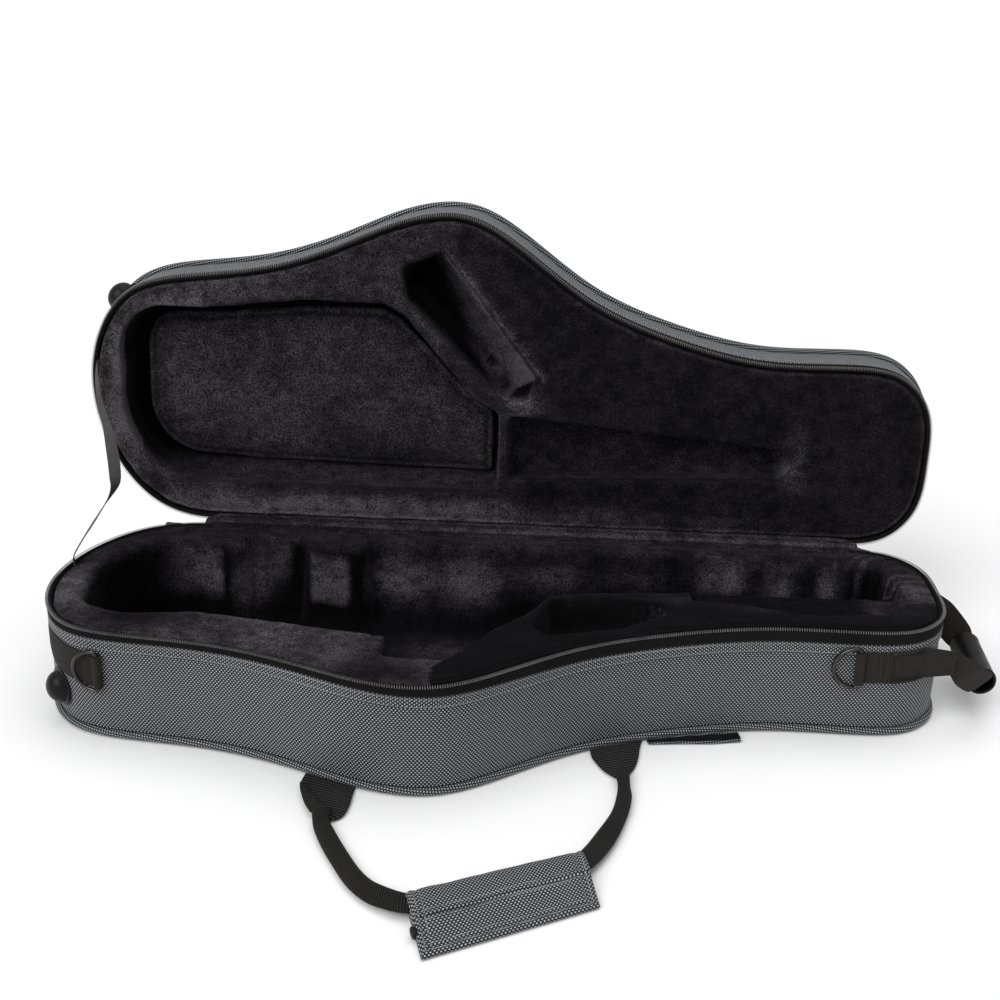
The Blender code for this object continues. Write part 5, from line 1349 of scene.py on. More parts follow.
# Each pocket's depth, lip, wall slope and floor curve, as soft_profile takes them
BASE_POCKETS = [
    (TROUGH_SHARES, (0.072, 0.005, 0.0045, 0.014)), (NOTCH_SHARES, (0.030, 0.0022, 0.003, 0.006)),
    (SHELF_SHARES, (0.015, 0.0022, 0.003, 0.005)), (OVAL_SHARES, (0.026, 0.0022, 0.003, 0.006)),
]
LID_POCKETS = [
    (RECESS_SHARES, (RECESS_DEPTH, 0.0025, 0.002, 0.004)),
    (NECK_POCKET_SHARES, (0.036, 0.0025, 0.004, 0.008)), (SLOT_SHARES, (0.026, 0.0022, 0.003, 0.006)),
]
base_foam, lid_foam = ([n for n in frame["nodes"]
                        if n.startswith(tray) and n.endswith(("_foam", "_floor_pad"))]
                       for tray in ("base_", "lid_"))
crease = [(-0.0365 + 0.088 * t, 0.2204 - 0.1284 * t) for t in np.linspace(0.0, 1.0, 54)]
crease += [(x + 0.0009, d + 0.0006) for x, d in crease[::-1]]
base_liner = make_liner("base", BASE_POCKETS, base_foam, base_wander, base_ripple, lambda flat, depth: depth,
                        BASE_SWELLINGS, [PLUSH, BRACE_PLUSH], brace_side, [np.array(crease)])
paint_nap_and_light(base_liner, "base", base_nap_and_light)
pad_rings = [pad_loop(k) for k in (0.0004, 0.0014, 0.0040)]
lid_liner = make_liner("lid", LID_POCKETS, lid_foam, lambda i, flat: np.zeros(len(flat)), lid_ripple,
                       lid_shape, LID_SWELLINGS, [PLUSH], None, pad_rings)
paint_nap_and_light(lid_liner, "lid", lid_nap_and_light)
make_bell_pad()

# Places of the rings, bands, patches and feet, as shares of the outline's run
LEFT_RING, RIGHT_RING = 0.2555, 0.7885
tail = (0.009 + SEAT_GAP * 2) / RUN
pleats = (RIGHT_RING + tail, RIGHT_RING + tail + 0.012)
grab_ends = [Vector((GRAB_PIVOT_X, HINGE_Y - GRAB_MIDDLE + side * GRAB_SPAN / 2, BAND_HEIGHT))
             for side in (-1, 1)]
make_wall_band("left_band_web", (0.055, LEFT_RING - tail), WEBBING_THICKNESS, ["left_band"], RING_DROP)
make_wall_band("pleated_tab_web", pleats, WEBBING_THICKNESS * 2, ["pleated_tab"], ribs=3)
patch_frames = make_wall_band("grab_patch_front_web", (pleats[1] + SEAT_GAP / RUN, 0.836), WEBBING_THICKNESS,
                              ["grab_patch_front"], 0.0, grab_ends[0])
make_wall_band("grab_patch_rear_web", (0.985, 0.966), WEBBING_THICKNESS, ["grab_patch_rear"], 0.0,
               grab_ends[1])
for end, share, lay, drop in (("left", LEFT_RING, -1, RING_DROP), ("right", RIGHT_RING, 1, 0.0)):
    centre, along = make_keeper("keeper_web_" + end, share, BAND_HEIGHT - drop, lay, "ring_keeper_" + end)
    make_d_ring("d_ring_" + end, centre, along)
for tray, lift in (("base", 0.0275), ("lid", 0.0225)):
    for end, share in (("front", 0.215), ("rear", 0.105)):
        make_foot(f"{tray}_foot_{end}", tray, share, lift)


# Hinge cloths

HINGE_ENDS = (-0.2400, 0.2810)


def make_hinge_cloth(name, route, thickness, material, nodes, ends, wide):
    """Cloth strip along the hinge; its route is in pairs of distance and depth for each tray."""
    base_part, lid_part = route
    points = [place("base", 0.0, d, h) for d, h in base_part] + [place("lid", 0.0, d, h) for d, h in lid_part]
    fine = smooth_run(points, 0.0022)
    xs = np.linspace(*HINGE_ENDS, 90)
    rings = []
    for i, here in enumerate(fine):
        ahead = heading(fine, i)
        through = np.array([0.0, -ahead[2], ahead[1]])
        through *= thickness / 2 / np.linalg.norm(through)
        wave = np.array([0.0003 * noise.noise(Vector((x * 30.0, i * 0.3, 2.0))) for x in xs])[:, None]
        to_end = np.clip(np.minimum(xs - xs[0], xs[-1] - xs) / 0.022, 0.0, 1.0)
        shrink = np.sqrt(1.0 - (1.0 - to_end) ** 2)[:, None] * 0.86 + 0.14
        centre = np.array((0.0, here[1] if wide else HINGE_Y - 0.0012, BASE_HEIGHT))
        local = centre + (here - centre) * shrink
        up = local + through * (1 + wave / thickness * 2)
        low = local - through * (1 - wave / thickness * 2)
        up[:, 0] = low[:, 0] = xs
        rings.append(np.vstack([up, low[::-1]]))
    obj = skin(name, rings, material, None, sharp=60.0)
    if nodes:
        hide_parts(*nodes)
    place("base", 0.0, *ends).tolist()
    place("lid", 0.0, *ends).tolist()
    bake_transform(obj)
    return obj


outer_wall = WALL_INSET - SEAT_GAP - 0.0007
outer_route = [(outer_wall, h) for h in (0.0250, 0.0180, 0.0110, 0.0040)]
make_hinge_cloth("hinge_cloth", (outer_route, outer_route[::-1]), 0.0012, TAPE,
                 ["base_hinge_tape", "lid_hinge_tape"], (outer_wall, 0.0040), True)
inner_route = [(0.0059, 0.0040), (0.0053, 0.0026), (0.0046, 0.0004), (0.0034, 0.0000), (0.0012, -0.0001)]
lining = make_hinge_cloth("hinge_lining", (inner_route, inner_route[::-1]), 0.0005, PLUSH, [],
                          (0.0012, -0.0001), False)


def lining_nap_and_light(x, d, h):
    """Painted highlight in the fold, painted shade along both its edges."""
    fold = np.interp(d - h, [-0.006, -0.0035, 0.0, 0.0025, 0.0040, 0.0060],
                     [0.42, 0.16, 0.58, 0.54, 0.22, 0.30])
    return fold * np.interp(x, [-0.10, 0.05], [1.0, 1.12])


paint_nap_and_light(lining, "base", lining_nap_and_light)


# Carrying handle

STRAP_WIDTH = 0.017
STRAP_THICKNESS = 0.0046
STRAP_LAP_LIFT = 0.0069


TAB_STEPS = 6                # across the webbing


def make_tab(name, node, rows, lift, material=TAB_WEBBING, tray="base"):
    """Webbing lying flat: each row is its left end, its right end and its thickness."""
    rows = [(np.array(a), np.array(b), t) for a, b, t in rows]
    rings = []
    left = smooth_run([a for a, b, t in rows], 0.0018)
    count = len(left)
    left = at_run(left, run_lengths(left), np.linspace(0, run_lengths(left)[-1], count))
    right = smooth_run([b for a, b, t in rows], 0.0018)
    right = at_run(right, run_lengths(right), np.linspace(0, run_lengths(right)[-1], count))
    thick = np.interp(np.linspace(0, len(rows) - 1, count), range(len(rows)), [t for a, b, t in rows])
    there = [(k / TAB_STEPS, 1) for k in range(TAB_STEPS + 1)]
    back = [(1 - k / TAB_STEPS, -1) for k in range(TAB_STEPS + 1)]
    for a, b, t in zip(left, right, thick):
        ring = []
        for part, face in there + back:
            x, d = a + (b - a) * part
            edge = 0.35 if part in (0.0, 1.0) else 1.0
            level = lift + t / 2 + face * t / 2 * edge
            ring.append(place(tray, x, d, HEIGHTS[tray] + (level if tray == "lid" else -level)))
        rings.append(ring)
    return skin(name, rings, material, tray, [node] if node else (), sharp=50.0)


def seam_row(shares, offset):
    """Two points on the outline where a tab is sewn in."""
    return [tuple(p) for p in outline(np.array(shares) * RUN, offset)]


make_tab("handle_tab_web_left", "handle_tab_left", [
    (*seam_row((0.401, 0.4375), -0.0008), 0.0010), ((-0.1235, 0.2400), (-0.0863, 0.2540), 0.0016),
    ((-0.1215, 0.2500), (-0.0865, 0.2640), 0.0020), ((-0.1140, 0.2640), (-0.0878, 0.2740), 0.0023),
    ((-0.1060, 0.2740), (-0.0905, 0.2805), 0.0026), ((-0.1010, 0.2810), (-0.0960, 0.2840), 0.0028)], 0.0004)
make_tab("handle_fold_left", None, [
    ((-0.1236, 0.2440), (-0.1212, 0.2450), 0.0008), ((-0.1222, 0.2520), (-0.1155, 0.2550), 0.0018),
    ((-0.1190, 0.2620), (-0.1080, 0.2655), 0.0026), ((-0.1150, 0.2720), (-0.1018, 0.2730), 0.0030),
    ((-0.1105, 0.2800), (-0.0968, 0.2765), 0.0034)], 0.0034, STRAP_WEBBING)
make_tab("handle_tab_web_right", "handle_tab_right", [
    (*seam_row((0.606, 0.644), -0.0008), 0.0010), ((0.0746, 0.1915), (0.1090, 0.1760), 0.0016),
    ((0.0785, 0.2010), (0.1075, 0.1900), 0.0019), ((0.0830, 0.2090), (0.1050, 0.2020), 0.0022),
    ((0.0880, 0.2145), (0.1020, 0.2095), 0.0025), ((0.0915, 0.2175), (0.1000, 0.2145), 0.0027)], 0.0004)


def strap_skin(name, route, width, thickness, material, body, nodes, axis, flat):
    """Webbing along a route with one facing, its ends cut along an axis."""
    rings = []
    for i, here in enumerate(route):
        ahead = Vector(heading(route, i)).normalized()
        side = Vector(flat).cross(ahead).normalized()
        through = ahead.cross(side)
        if i in (0, len(route) - 1):
            side = Vector(axis) / Vector(axis).dot(side)
        rings.append(flat_section(here, side * width / 2, through * thickness / 2, 0.3, 6))
    return skin(name, rings, material, body, nodes, sharp=60.0)


# The grip's corners on the floor: far left, far right, near left, near right.
GRIP_CORNERS = np.array(((-0.0383, 0.3639), (0.0690, 0.3131), (-0.0231, 0.4150), (0.0799, 0.3589)))


def on_grip(u, v):
    """Point on the grip, u along it and v from its far side to its near side."""
    far_left, far_right, near_left, near_right = GRIP_CORNERS
    return (far_left * (1 - u) + far_right * u) * (1 - v) + (near_left * (1 - u) + near_right * u) * v


# The strap's two edges in the plan, with its middle's height.
STRAP_EDGES = [
    ((-0.1090, 0.2812), (-0.0970, 0.2772), 0.0066), ((-0.1078, 0.2880), (-0.0975, 0.2830), 0.0060),
    ((-0.1050, 0.2980), (-0.0960, 0.2890), 0.0044), ((-0.0980, 0.3140), (-0.0905, 0.3000), 0.0036),
    ((-0.0890, 0.3310), (-0.0820, 0.3160), 0.0034), ((-0.0760, 0.3530), (-0.0710, 0.3350), 0.0034),
    ((-0.0630, 0.3670), (-0.0615, 0.3470), 0.0036), ((-0.0510, 0.3745), (-0.0510, 0.3550), 0.0048),
    ((-0.0380, 0.3795), (-0.0390, 0.3615), 0.0062), (on_grip(0.10, 0.34), on_grip(0.10, 0.06), 0.0060),
    (on_grip(0.35, 0.33), on_grip(0.35, 0.06), 0.0058), (on_grip(0.65, 0.35), on_grip(0.65, 0.06), 0.0058),
    (on_grip(0.90, 0.37), on_grip(0.90, 0.06), 0.0060), ((0.0755, 0.3255), (0.0690, 0.3080), 0.0062),
    ((0.0885, 0.2990), (0.0788, 0.2850), 0.0046), ((0.0975, 0.2690), (0.0878, 0.2620), 0.0040),
    ((0.1015, 0.2460), (0.0915, 0.2420), 0.0042), ((0.1008, 0.2330), (0.0922, 0.2290), 0.0050),
    ((0.1005, 0.2230), (0.0912, 0.2235), 0.0062), ((0.1010, 0.2126), (0.0900, 0.2162), 0.0066),
]
strap_run = smooth_run([(x, HINGE_Y - d, a, HINGE_Y - b, z) for (x, d), (a, b), z in STRAP_EDGES], 0.0020)
strap_rings = []
for x, y, a, b, z in strap_run:
    across = np.array((a - x, b - y, 0.0)) / 2
    strap_rings.append(flat_section(((x + a) / 2, (y + b) / 2, z), across, (0.0, 0.0, 0.0022), 0.3, 6))
skin("handle_strap_web", strap_rings, STRAP_WEBBING, "handle", ["handle_strap"], sharp=60.0)


GRIP_LENGTH, GRIP_WIDTH = 0.119, 0.051
# The sleeve's section: v across it against height
GRIP_SECTION = [(0.0, 0.0050), (0.010, 0.0080), (0.045, 0.0100), (0.12, 0.0109), (0.24, 0.0112), (0.38, 0.0108),
                (0.52, 0.0092), (0.68, 0.0068), (0.84, 0.0051), (0.95, 0.0040), (1.0, 0.0024), (0.975, 0.0007),
                (0.75, 0.0006), (0.45, 0.0006), (0.18, 0.0006), (0.03, 0.0008), (0.0, 0.0024)]
# The snap's button: distance along its axis and radius
SNAP_PROFILE = [(0.0, 0.0034), (0.0016, 0.0043), (0.0026, 0.0044), (0.0034, 0.0036), (0.0038, 0.0016),
                (0.0038, 0.0002)]


def grip_seam(u):
    """Where the sleeve's upper flap ends, as v."""
    return 0.505 - 0.035 * u


def make_grip():
    """Sleeve of woven fabric round the strap, its upper flap closed along a slanting seam."""
    section = closed_curve(GRIP_SECTION, 170, (1.0, 20.0))
    crown = [k for k in range(len(section)) if section[k, 1] > 0.0024]
    stations = np.linspace(0.0, 1.0, 110)
    rings, tops = [], []
    for u in stations:
        end = min(u, 1.0 - u) * GRIP_LENGTH
        ring = []
        for v, z in section:
            lift = 0.0
            if z > 0.0024:
                gap = (grip_seam(u) - v) * GRIP_WIDTH
                lift += 0.0010 * min(1.0, max(0.0, gap / 0.0006 + 0.5))
                lift -= 0.0008 * math.exp(-((gap + 0.0004) / 0.0007) ** 2)
                lift -= 0.0006 * math.exp(-(((1 - v) * GRIP_WIDTH - 0.0052) / 0.0010) ** 2)
                lift += 0.0005 * math.exp(-((end - 0.0022) / 0.0022) ** 2)
                lift -= 0.0007 * math.exp(-((end - 0.0062) / 0.0011) ** 2)
                lift += 0.0011 * noise.noise(Vector((u * 3.4, v * 2.2 + u, 4.0))) * min(1.0, end / 0.012)
                lift += 0.0004 * noise.noise(Vector((u * 11.0, v * 7.0, 9.0)))
                lift -= 0.0022 * math.exp(-end / 0.0012) * min(1.0, z / 0.008)
            x, d = on_grip(u, v)
            ring.append((x, HINGE_Y - d, max(0.0006, z + lift * min(1.0, (z - 0.0022) / 0.002))
                         if z > 0.0024 else z))
        rings.append(ring)
        tops.append(([section[k, 0] for k in crown], [ring[k][2] for k in crown]))
    sleeve = skin("handle_grip_sleeve", rings, WEAVE, "handle", ["handle_grip"], sharp=0.0)

    def over(points):
        """A stitch row lying on the sleeve, through points given as u and v."""
        route, outs = [], []
        for u, v in points:
            places, heights = tops[int(round(u * (len(stations) - 1)))]
            order = np.argsort(places)
            spots, levels = np.array(places)[order], np.array(heights)[order]
            low, here, high = np.interp((v - 0.03, v, v + 0.03), spots, levels)
            x, d = on_grip(u, v)
            way = on_grip(u, 1.0) - on_grip(u, 0.0)
            route.append((x, HINGE_Y - d, here + 0.0001))
            tilt = (high - low) / (0.06 * GRIP_WIDTH)
            outs.append((-tilt * way[0] / GRIP_WIDTH, tilt * way[1] / GRIP_WIDTH, 1.0))
        return route, outs

    inner = np.linspace(0.05, 0.95, 60)
    rows = [over([(u, grip_seam(u) + shift / GRIP_WIDTH) for u in inner]) for shift in (-0.0030, 0.0026)]
    rows.append(over([(u, 1 - 0.0030 / GRIP_WIDTH) for u in np.linspace(0.03, 0.97, 60)]))
    rows.append(over([(u, 1 - 0.0072 / GRIP_WIDTH) for u in inner]))
    for reach in (0.0036, 0.0078):
        for u in (reach / GRIP_LENGTH, 1 - reach / GRIP_LENGTH):
            rows.append(over([(u, v) for v in np.linspace(0.04, 0.96, 40)]))
    frames = np.vstack([stitch_frames(route, outs, 0.0030, 0.0023, 0.0009) for route, outs in rows])
    scatter("handle_grip_stitches", frames, *STITCH, THREAD, "handle")

    x, d = on_grip(0.0, 0.62)
    axis = Vector((GRIP_CORNERS[1] - GRIP_CORNERS[0]).tolist() + [0.0])
    axis = Vector((axis.x, -axis.y, 0.0)).normalized()
    side = Vector((0.0, 0.0, 1.0)).cross(axis)
    centre = Vector((x, HINGE_Y - d, 0.0046)) + axis * 0.0012
    up = Vector((0.0, 0.0, 0.85))
    rings = [[centre - axis * reach + (side * math.cos(a) + up * math.sin(a)) * r for a in circle(20)]
             for reach, r in SNAP_PROFILE]
    skin("handle_snap_button", rings, RUBBER, "handle", ["handle_snap"], sharp=50.0)


make_grip()


# Lid handle, hanging plumb

def make_lid_handle():
    """The strap's route as drawn flat on the lid, then turned about its ends until it hangs plumb."""
    shares = [(-0.314, 0.788), (-0.290, 0.650), (-0.235, 0.500), (-0.130, 0.415), (0.000, 0.375),
              (0.120, 0.365), (0.215, 0.400), (0.262, 0.480), (0.287, 0.592)]
    level = LID_HEIGHT + STRAP_LAP_LIFT
    route = smooth_run([(x * HALF_LENGTH, -d * DEPTH, level) for x, d in shares], 0.0030)
    start = Vector(route[0])
    axis = Vector(route[-1] - route[0]).normalized()
    arm = Vector(route.mean(axis=0)) - start
    down = Matrix.Rotation(LID_OPEN_ANGLE, 3, "X") @ Vector((0.0, 0.0, -1.0))
    arm, down = arm - axis * arm.dot(axis), down - axis * down.dot(axis)
    turn = Matrix.Rotation(math.atan2(axis.dot(arm.cross(down)), arm.dot(down)), 3, axis)
    opened = Matrix.Rotation(-LID_OPEN_ANGLE, 3, "X")
    hinge = Vector((0.0, HINGE_Y, BASE_HEIGHT))
    world = np.array([tuple(hinge + opened @ (start + turn @ (Vector(p) - start))) for p in route])
    flat = opened @ turn @ Vector((0.0, 0.0, 1.0))
    strap_skin("lid_handle_strap_web", world, STRAP_WIDTH, STRAP_THICKNESS, STRAP_WEBBING, "lid_handle",
               ["lid_handle_strap"], opened @ axis, flat)


make_lid_handle()
# Its tabs: sewn to the edge, narrowing and turning square to the strap's end
for side_name, shares, end, toward in (("left", (0.403, 0.4375), (-0.310, 0.755), (-0.235, 0.500)),
                                       ("right", (0.608, 0.644), (0.284, 0.560), (0.262, 0.480))):
    seam = outline(np.array(shares) * RUN, LID_FLARE - 2 * PIPING_RADIUS - 0.0012)
    end, toward = [np.array((x * HALF_LENGTH, d * DEPTH)) for x, d in (end, toward)]
    line = (toward - end) / np.hypot(*(toward - end))
    sewn = seam[1] - seam[0]
    square = np.array((line[1], -line[0]))
    square = square * np.sign(square @ sewn)
    rows = []
    for t, thick in ((0.0, 0.0016), (0.3, 0.0017), (0.6, 0.0020), (0.85, 0.0024), (1.0, 0.0027)):
        middle = seam.mean(axis=0) * (1 - t) + end * t
        across = sewn / np.hypot(*sewn) * (1 - t) + square * t
        half = (np.hypot(*sewn) * (1 - t ** 3) + STRAP_WIDTH * t ** 3) / 2
        across /= np.hypot(*across)
        rows.append((middle - across * half, middle + across * half, thick))
    make_tab("lid_tab_web_" + side_name, "lid_handle_tab_" + side_name, rows, 0.0006 + 0.0022, tray="lid")


# Grab handle

GRAB_REACH = 0.028
GRAB_TUBE_HALF = 0.029
GRAB_STRAP_WIDTHS = [0.0150, 0.0200, 0.0235, 0.0225, 0.0160, 0.0155]   # from its end to the tube
# Radius of the tube against the place along it
GRAB_TUBE = [(0.0110, -0.0282), (0.0112, -0.0276), (0.0108, -0.0262), (0.0108, 0.0262), (0.0112, 0.0276),
             (0.0110, 0.0282), (0.0102, 0.0290), (0.0092, 0.0286), (0.0087, 0.0276), (0.0087, -0.0276),
             (0.0092, -0.0286), (0.0102, -0.0290)]


def make_grab_handle():
    """Strap from patch to patch, and the tube over its middle."""
    axis_point = Vector((GRAB_PIVOT_X, HINGE_Y - GRAB_MIDDLE, BAND_HEIGHT))
    half = GRAB_SPAN / 2
    out = Vector((GRAB_REACH, 0.0, -GRAB_REACH))
    arm = [(0.0, half), (0.22, half * 0.985), (0.45, half * 0.93), (0.86, half * 0.72), (1.0, GRAB_TUBE_HALF),
           (1.0, GRAB_TUBE_HALF * 0.5)]
    side = [(r, -y) for r, y in arm] + arm[::-1]
    widths = GRAB_STRAP_WIDTHS + GRAB_STRAP_WIDTHS[::-1]
    route = smooth_run([(*(axis_point + out * r + Vector((0.0, y, 0.0))), w)
                        for (r, y), w in zip(side, widths)], 0.002)
    rise = out.normalized().cross(Vector((0.0, 1.0, 0.0)))
    rings = []
    for i, (x, y, z, w) in enumerate(route):
        ahead = Vector(heading(route, i)[:3]).normalized()
        through = ahead.cross(rise).normalized()
        rings.append(flat_section((x, y, z), rise * w / 2, through * 0.0013, 0.3, 6))
    skin("grab_strap_web", rings, WEBBING, "grab_handle", ["grab_handle_strap"], sharp=60.0)
    face = out.normalized()
    centre = axis_point + out
    rings = [[centre + (face * math.cos(a) + rise * math.sin(a)) * r + Vector((0.0, y, 0.0))
              for r, y in GRAB_TUBE] for a in circle(40)]
    skin("grab_tube", rings, RUBBER, "grab_handle", ["grab_handle_grip"], close=True, sharp=45.0)


make_grab_handle()


# Zipper sliders

def plate(name, outer, inner, thickness, origin, first, second, through, material, body, nodes=()):
    """Flat plate with a hole, both given as loops of equal count."""
    origin, first, second, through = (np.array(v, float) for v in (origin, first, second, through))
    rings = []
    bevel = thickness * 0.25
    middle = np.mean(outer, axis=0)
    for (x, y), (a, b) in zip(outer, inner):
        shift = np.array((x, y)) - middle
        shift = shift / (np.linalg.norm(shift) + 1e-9) * bevel
        ring = []
        for (u, v), t in (((x, y), -0.25), ((x, y), 0.25), ((x - shift[0], y - shift[1]), 0.5), ((a, b), 0.5),
                          ((a, b), -0.5), ((x - shift[0], y - shift[1]), -0.5)):
            ring.append(origin + first * u + second * v + through * t * thickness)
        rings.append(ring)
    return skin(name, rings, material, body, nodes, close=True, sharp=35.0)


SLIDER_THICKNESS = 0.0009
SLIDER_HALF = [(0.0068, 0.0), (0.0062, -0.0030), (-0.001, -0.0046)]
PULL_THICKNESS = 0.0014
PULL_HALF = [(0.0022, 0.0006), (0.0031, -0.0050), (0.0040, -0.0140), (0.0038, -0.0225), (0.0020, -0.0258)]


def arc(x, y, radius, start, end, count):
    """Points round a small hole."""
    return [(x + radius * math.cos(a), y + radius * math.sin(a))
            for a in np.linspace(start, end, count, endpoint=False)]


def make_slider(name, share):
    """Two plates on the tape, the bridge on the front one and the pull that hangs from it."""
    run = np.array([share * RUN])
    (x, d), = outline(run, -(WALL_INSET - SEAT_GAP) + 0.0025 + SEAT_GAP + 0.0016)
    away = wall_frame(share, 0.0)[1]
    up = Vector((0.0, 0.0, 1.0))
    side = away.cross(up)
    middle = Vector((x, HINGE_Y - d, BASE_HEIGHT - 0.0065))
    shield = closed_curve([(-0.0068, -0.0048), (-0.0068, 0.0048), (-0.001, 0.0046), (0.0062, 0.0030),
                           *SLIDER_HALF], 36)
    pin = arc(-0.001, 0.0, 0.0007, math.pi, -math.pi, 36)
    plate(f"slider_plate_{name}", shield, pin, SLIDER_THICKNESS, middle + away * 0.0007, side, up, away,
          NICKEL, "base", ["slider_" + name])
    plate(f"slider_back_{name}", shield, pin, SLIDER_THICKNESS, middle - away * 0.0010, side, up, away,
          NICKEL, "base")
    arch = [middle + side * (0.0042 * math.cos(a)) + away * (0.0011 + 0.0017 * math.sin(a))
            for a in np.linspace(0, math.pi, 12)]
    tube(f"slider_bridge_{name}", arch, 0.0006, NICKEL, "base", sides=8)
    hang = middle + away * (0.0016 + SEAT_GAP + 0.0008)
    other = [(-u, v) for u, v in PULL_HALF]
    tag = closed_curve(other[:1] + PULL_HALF + other[:0:-1], 40)
    hole = arc(0.0, -0.0215, 0.0016, 2.2, 2.2 - math.tau, 40)
    plate(f"pull_plate_{name}", tag, hole, PULL_THICKNESS, hang, up.cross(away), up, away, NICKEL,
          f"zip_pull_{name}", ["pull_" + name])


for end, share in (("left", 0.030), ("right", 0.986)):
    make_slider(end, share)


# Stay ribbon and the tab at the edge

# The ribbon's buckle: share of the way up from the top, and how far it stands inwards
STAY_BUCKLE = [(0.89, 0.006), (0.77, 0.0150), (0.63, 0.0245), (0.53, 0.0245), (0.33, 0.0165), (0.15, 0.006)]
# Which way its width points, from the lower end to the upper
STAY_FACINGS = [(-0.25, 1.0, 0.0), (-0.2, 1.0, 0.0), (-0.05, 1.0, 0.1), (0.0, 1.0, 0.2), (0.2, 0.9, 0.0),
                (0.9, 0.6, 0.0), (1.0, -0.5, 0.0), (0.7, -0.8, 0.3), (0.3, -0.3, 0.9), (0.0, -0.1, 1.0)]


def make_stay():
    """Ribbon from rim to rim; it buckles inwards and twists on its way down."""
    middle = -WALL_INSET - WALL_THICKNESS / 2
    ends = []
    for tray, share in (("base", 0.130), ("lid", 0.165)):
        x, d = outline(np.array(share * RUN), middle)
        ends.append((np.array(place(tray, x, d, 0.0)), np.array(place(tray, x, d, -0.006))))
    (low, low_up), (high, high_up) = ends
    points = [low, low_up]
    for t, dx in STAY_BUCKLE:
        points.append(high_up + (low_up - high_up) * t + np.array((dx, -0.004, -0.002)))
    points += [high_up, high]
    run = smooth_run([(*p, *(np.array(f) * 0.004)) for p, f in zip(points, STAY_FACINGS)], 0.0030)
    rings = []
    for i, row in enumerate(run):
        ahead = Vector(heading(run, i)[:3]).normalized()
        across = Vector(row[3:])
        across = (across - ahead * across.dot(ahead)).normalized()
        rings.append(flat_section(row[:3], across * 0.0046, ahead.cross(across) * 0.0004, 0.5, 4))
    obj = skin("stay_ribbon", rings, RIBBON, None, sharp=60.0)
    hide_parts("stay_strap")
    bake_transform(obj)


make_stay()
flap = np.linspace(0.6465, 0.7105, 24) * RUN
rows = []
for run in flap:
    inner, outer = outline(np.array(run), 0.0009), outline(np.array(run), 0.0134)
    part = (run - flap[0]) / (flap[-1] - flap[0])
    near = outline(np.array(run), 0.0009 + 0.0020 + 0.0105 * min(1.0, 0.2 + part * 1.2))
    rows.append([place("base", *inner, BASE_HEIGHT - 0.0009), place("base", *near, BASE_HEIGHT - 0.0007),
                 place("base", *near, BASE_HEIGHT - 0.0020), place("base", *inner, BASE_HEIGHT - 0.0019)])
low, high = np.array((0, 0, 0.0002)), np.array((0, 0, 0.0011))
skin("edge_flap_weave", rows, WEAVE, "edge_flap", ["edge_flap"], sharp=50.0, turn=math.radians(45.0))
upper = [[r[3] * 0.7 + r[2] * 0.3 + low, r[2] * 0.86 + r[3] * 0.14 + low, r[2] * 0.86 + r[3] * 0.14 + high,
          r[3] * 0.7 + r[2] * 0.3 + high] for r in rows]
skin("edge_flap_backing", upper, TAPE, "edge_flap", sharp=50.0)


# Stitching on the end webbing

def band_stitches(name, frames, lines):
    """Rows of dark stitches; each line joins two points given as a place along the band and a height."""
    found = []
    places, outs = (np.array(part) for part in zip(*frames))
    for (a, za), (b, zb) in lines:
        t = np.linspace(0.0, 1.0, 12)
        at = (a + (b - a) * t) * (len(frames) - 1)
        here = np.stack([np.interp(at, range(len(frames)), places[:, k]) for k in range(3)], 1)
        out = np.stack([np.interp(at, range(len(frames)), outs[:, k]) for k in range(3)], 1)
        here[:, 2] += za + (zb - za) * t
        found.append(stitch_frames(here, out, 0.0030, 0.0026, 0.0016))
    scatter(name, np.vstack(found), *STITCH, DARK_THREAD, "base")


# A square with both its diagonals
low_left, low_right, top_left, top_right = [(k, z) for z in (-0.0092, 0.0092) for k in (0.10, 0.90)]
band_stitches("grab_patch_stitches", patch_frames, [
    (low_left, top_left), (low_right, top_right), (top_left, top_right), (low_left, low_right),
    (low_left, top_right), (top_left, low_right)])
# The rolled edge, round three sides of the patch
edge_run = [point + away * 0.0002 for point, away in patch_frames]
edge = Vector((0, 0, 0.0118))
rolled = [edge_run[-1] + Vector((0, 0, 0.0114))] + [q + edge for q in edge_run[::-1]]
rolled += [edge_run[0] + Vector((0, 0, z)) for z in (0.006, 0.0, -0.006)]
rolled += [q - edge for q in edge_run]
tube("grab_patch_roll", smooth_run(rolled, 0.0015), 0.0010, WEBBING, "base", sides=8)

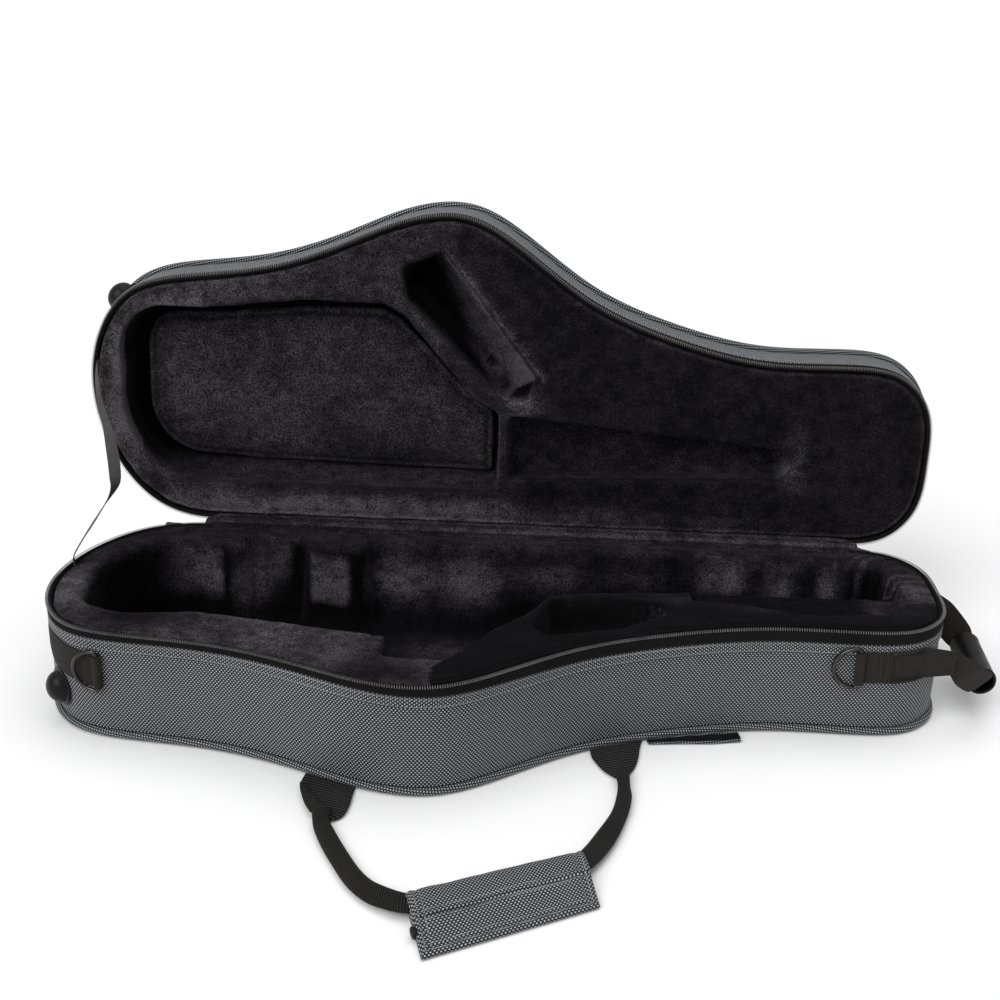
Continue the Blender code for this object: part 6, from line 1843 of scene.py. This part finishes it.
# Nodes that keep their CAD shape take the scene's finishes
for name, obj in frame["nodes"].items():
    if obj.hide_render:
        continue
    slot = next((row["material_slot"] for row in frame["record"]["subparts"] if row["node"] == name), "weave")
    chosen = {"weave": TAPE, "webbing": TAPE, "plush": PLUSH, "zipper": TAPE, "rubber": RUBBER,
              "nickel": NICKEL, "ribbon": TAPE}[slot]
    obj.data.materials.clear()
    obj.data.materials.append(chosen)

# Floor, light and backdrop
FLOOR_REACH = 6.0
FLOOR_LEVEL = -0.0004
WORLD_LIGHT = 0.62
floor_mesh = bpy.data.meshes.new("floor")
floor_mesh.from_pydata([(x * FLOOR_REACH, y * FLOOR_REACH, FLOOR_LEVEL)
                        for x, y in ((-1, -1), (1, -1), (1, 1), (-1, 1))], [], [(0, 1, 2, 3)])
floor = bpy.data.objects.new("floor", floor_mesh)
bpy.context.scene.collection.objects.link(floor)
floor_nodes = Nodes("floor_white", (0.86, 0.86, 0.86), 0.9)
floor_mesh.materials.append(floor_nodes.material)

world = bpy.data.worlds.new("studio")
bpy.context.scene.world = world
world.use_nodes = True
background = world.node_tree.nodes["Background"]
background.inputs["Color"].default_value = (1.0, 1.0, 1.0, 1.0)
seen = world.node_tree.nodes.new("ShaderNodeLightPath")
strength = world.node_tree.nodes.new("ShaderNodeMapRange")
world.node_tree.links.new(seen.outputs["Is Camera Ray"], strength.inputs["Value"])
strength.inputs["To Min"].default_value = WORLD_LIGHT
strength.inputs["To Max"].default_value = 1.0
world.node_tree.links.new(strength.outputs["Result"], background.inputs["Strength"])


def add_sun(name, towards, angle, strength):
    data = bpy.data.lights.new(name, "SUN")
    data.angle = math.radians(angle)
    data.energy = strength
    lamp = bpy.data.objects.new(name, data)
    lamp.rotation_mode = "QUATERNION"
    lamp.rotation_quaternion = Vector(towards).to_track_quat("Z", "Y")
    bpy.context.scene.collection.objects.link(lamp)


add_sun("key", (-1.2, -1.5, 1.7), 40.0, 1.7)
add_sun("top", (0.2, 0.3, 2.0), 50.0, 0.9)

bpy.context.scene.view_settings.view_transform = "Standard"
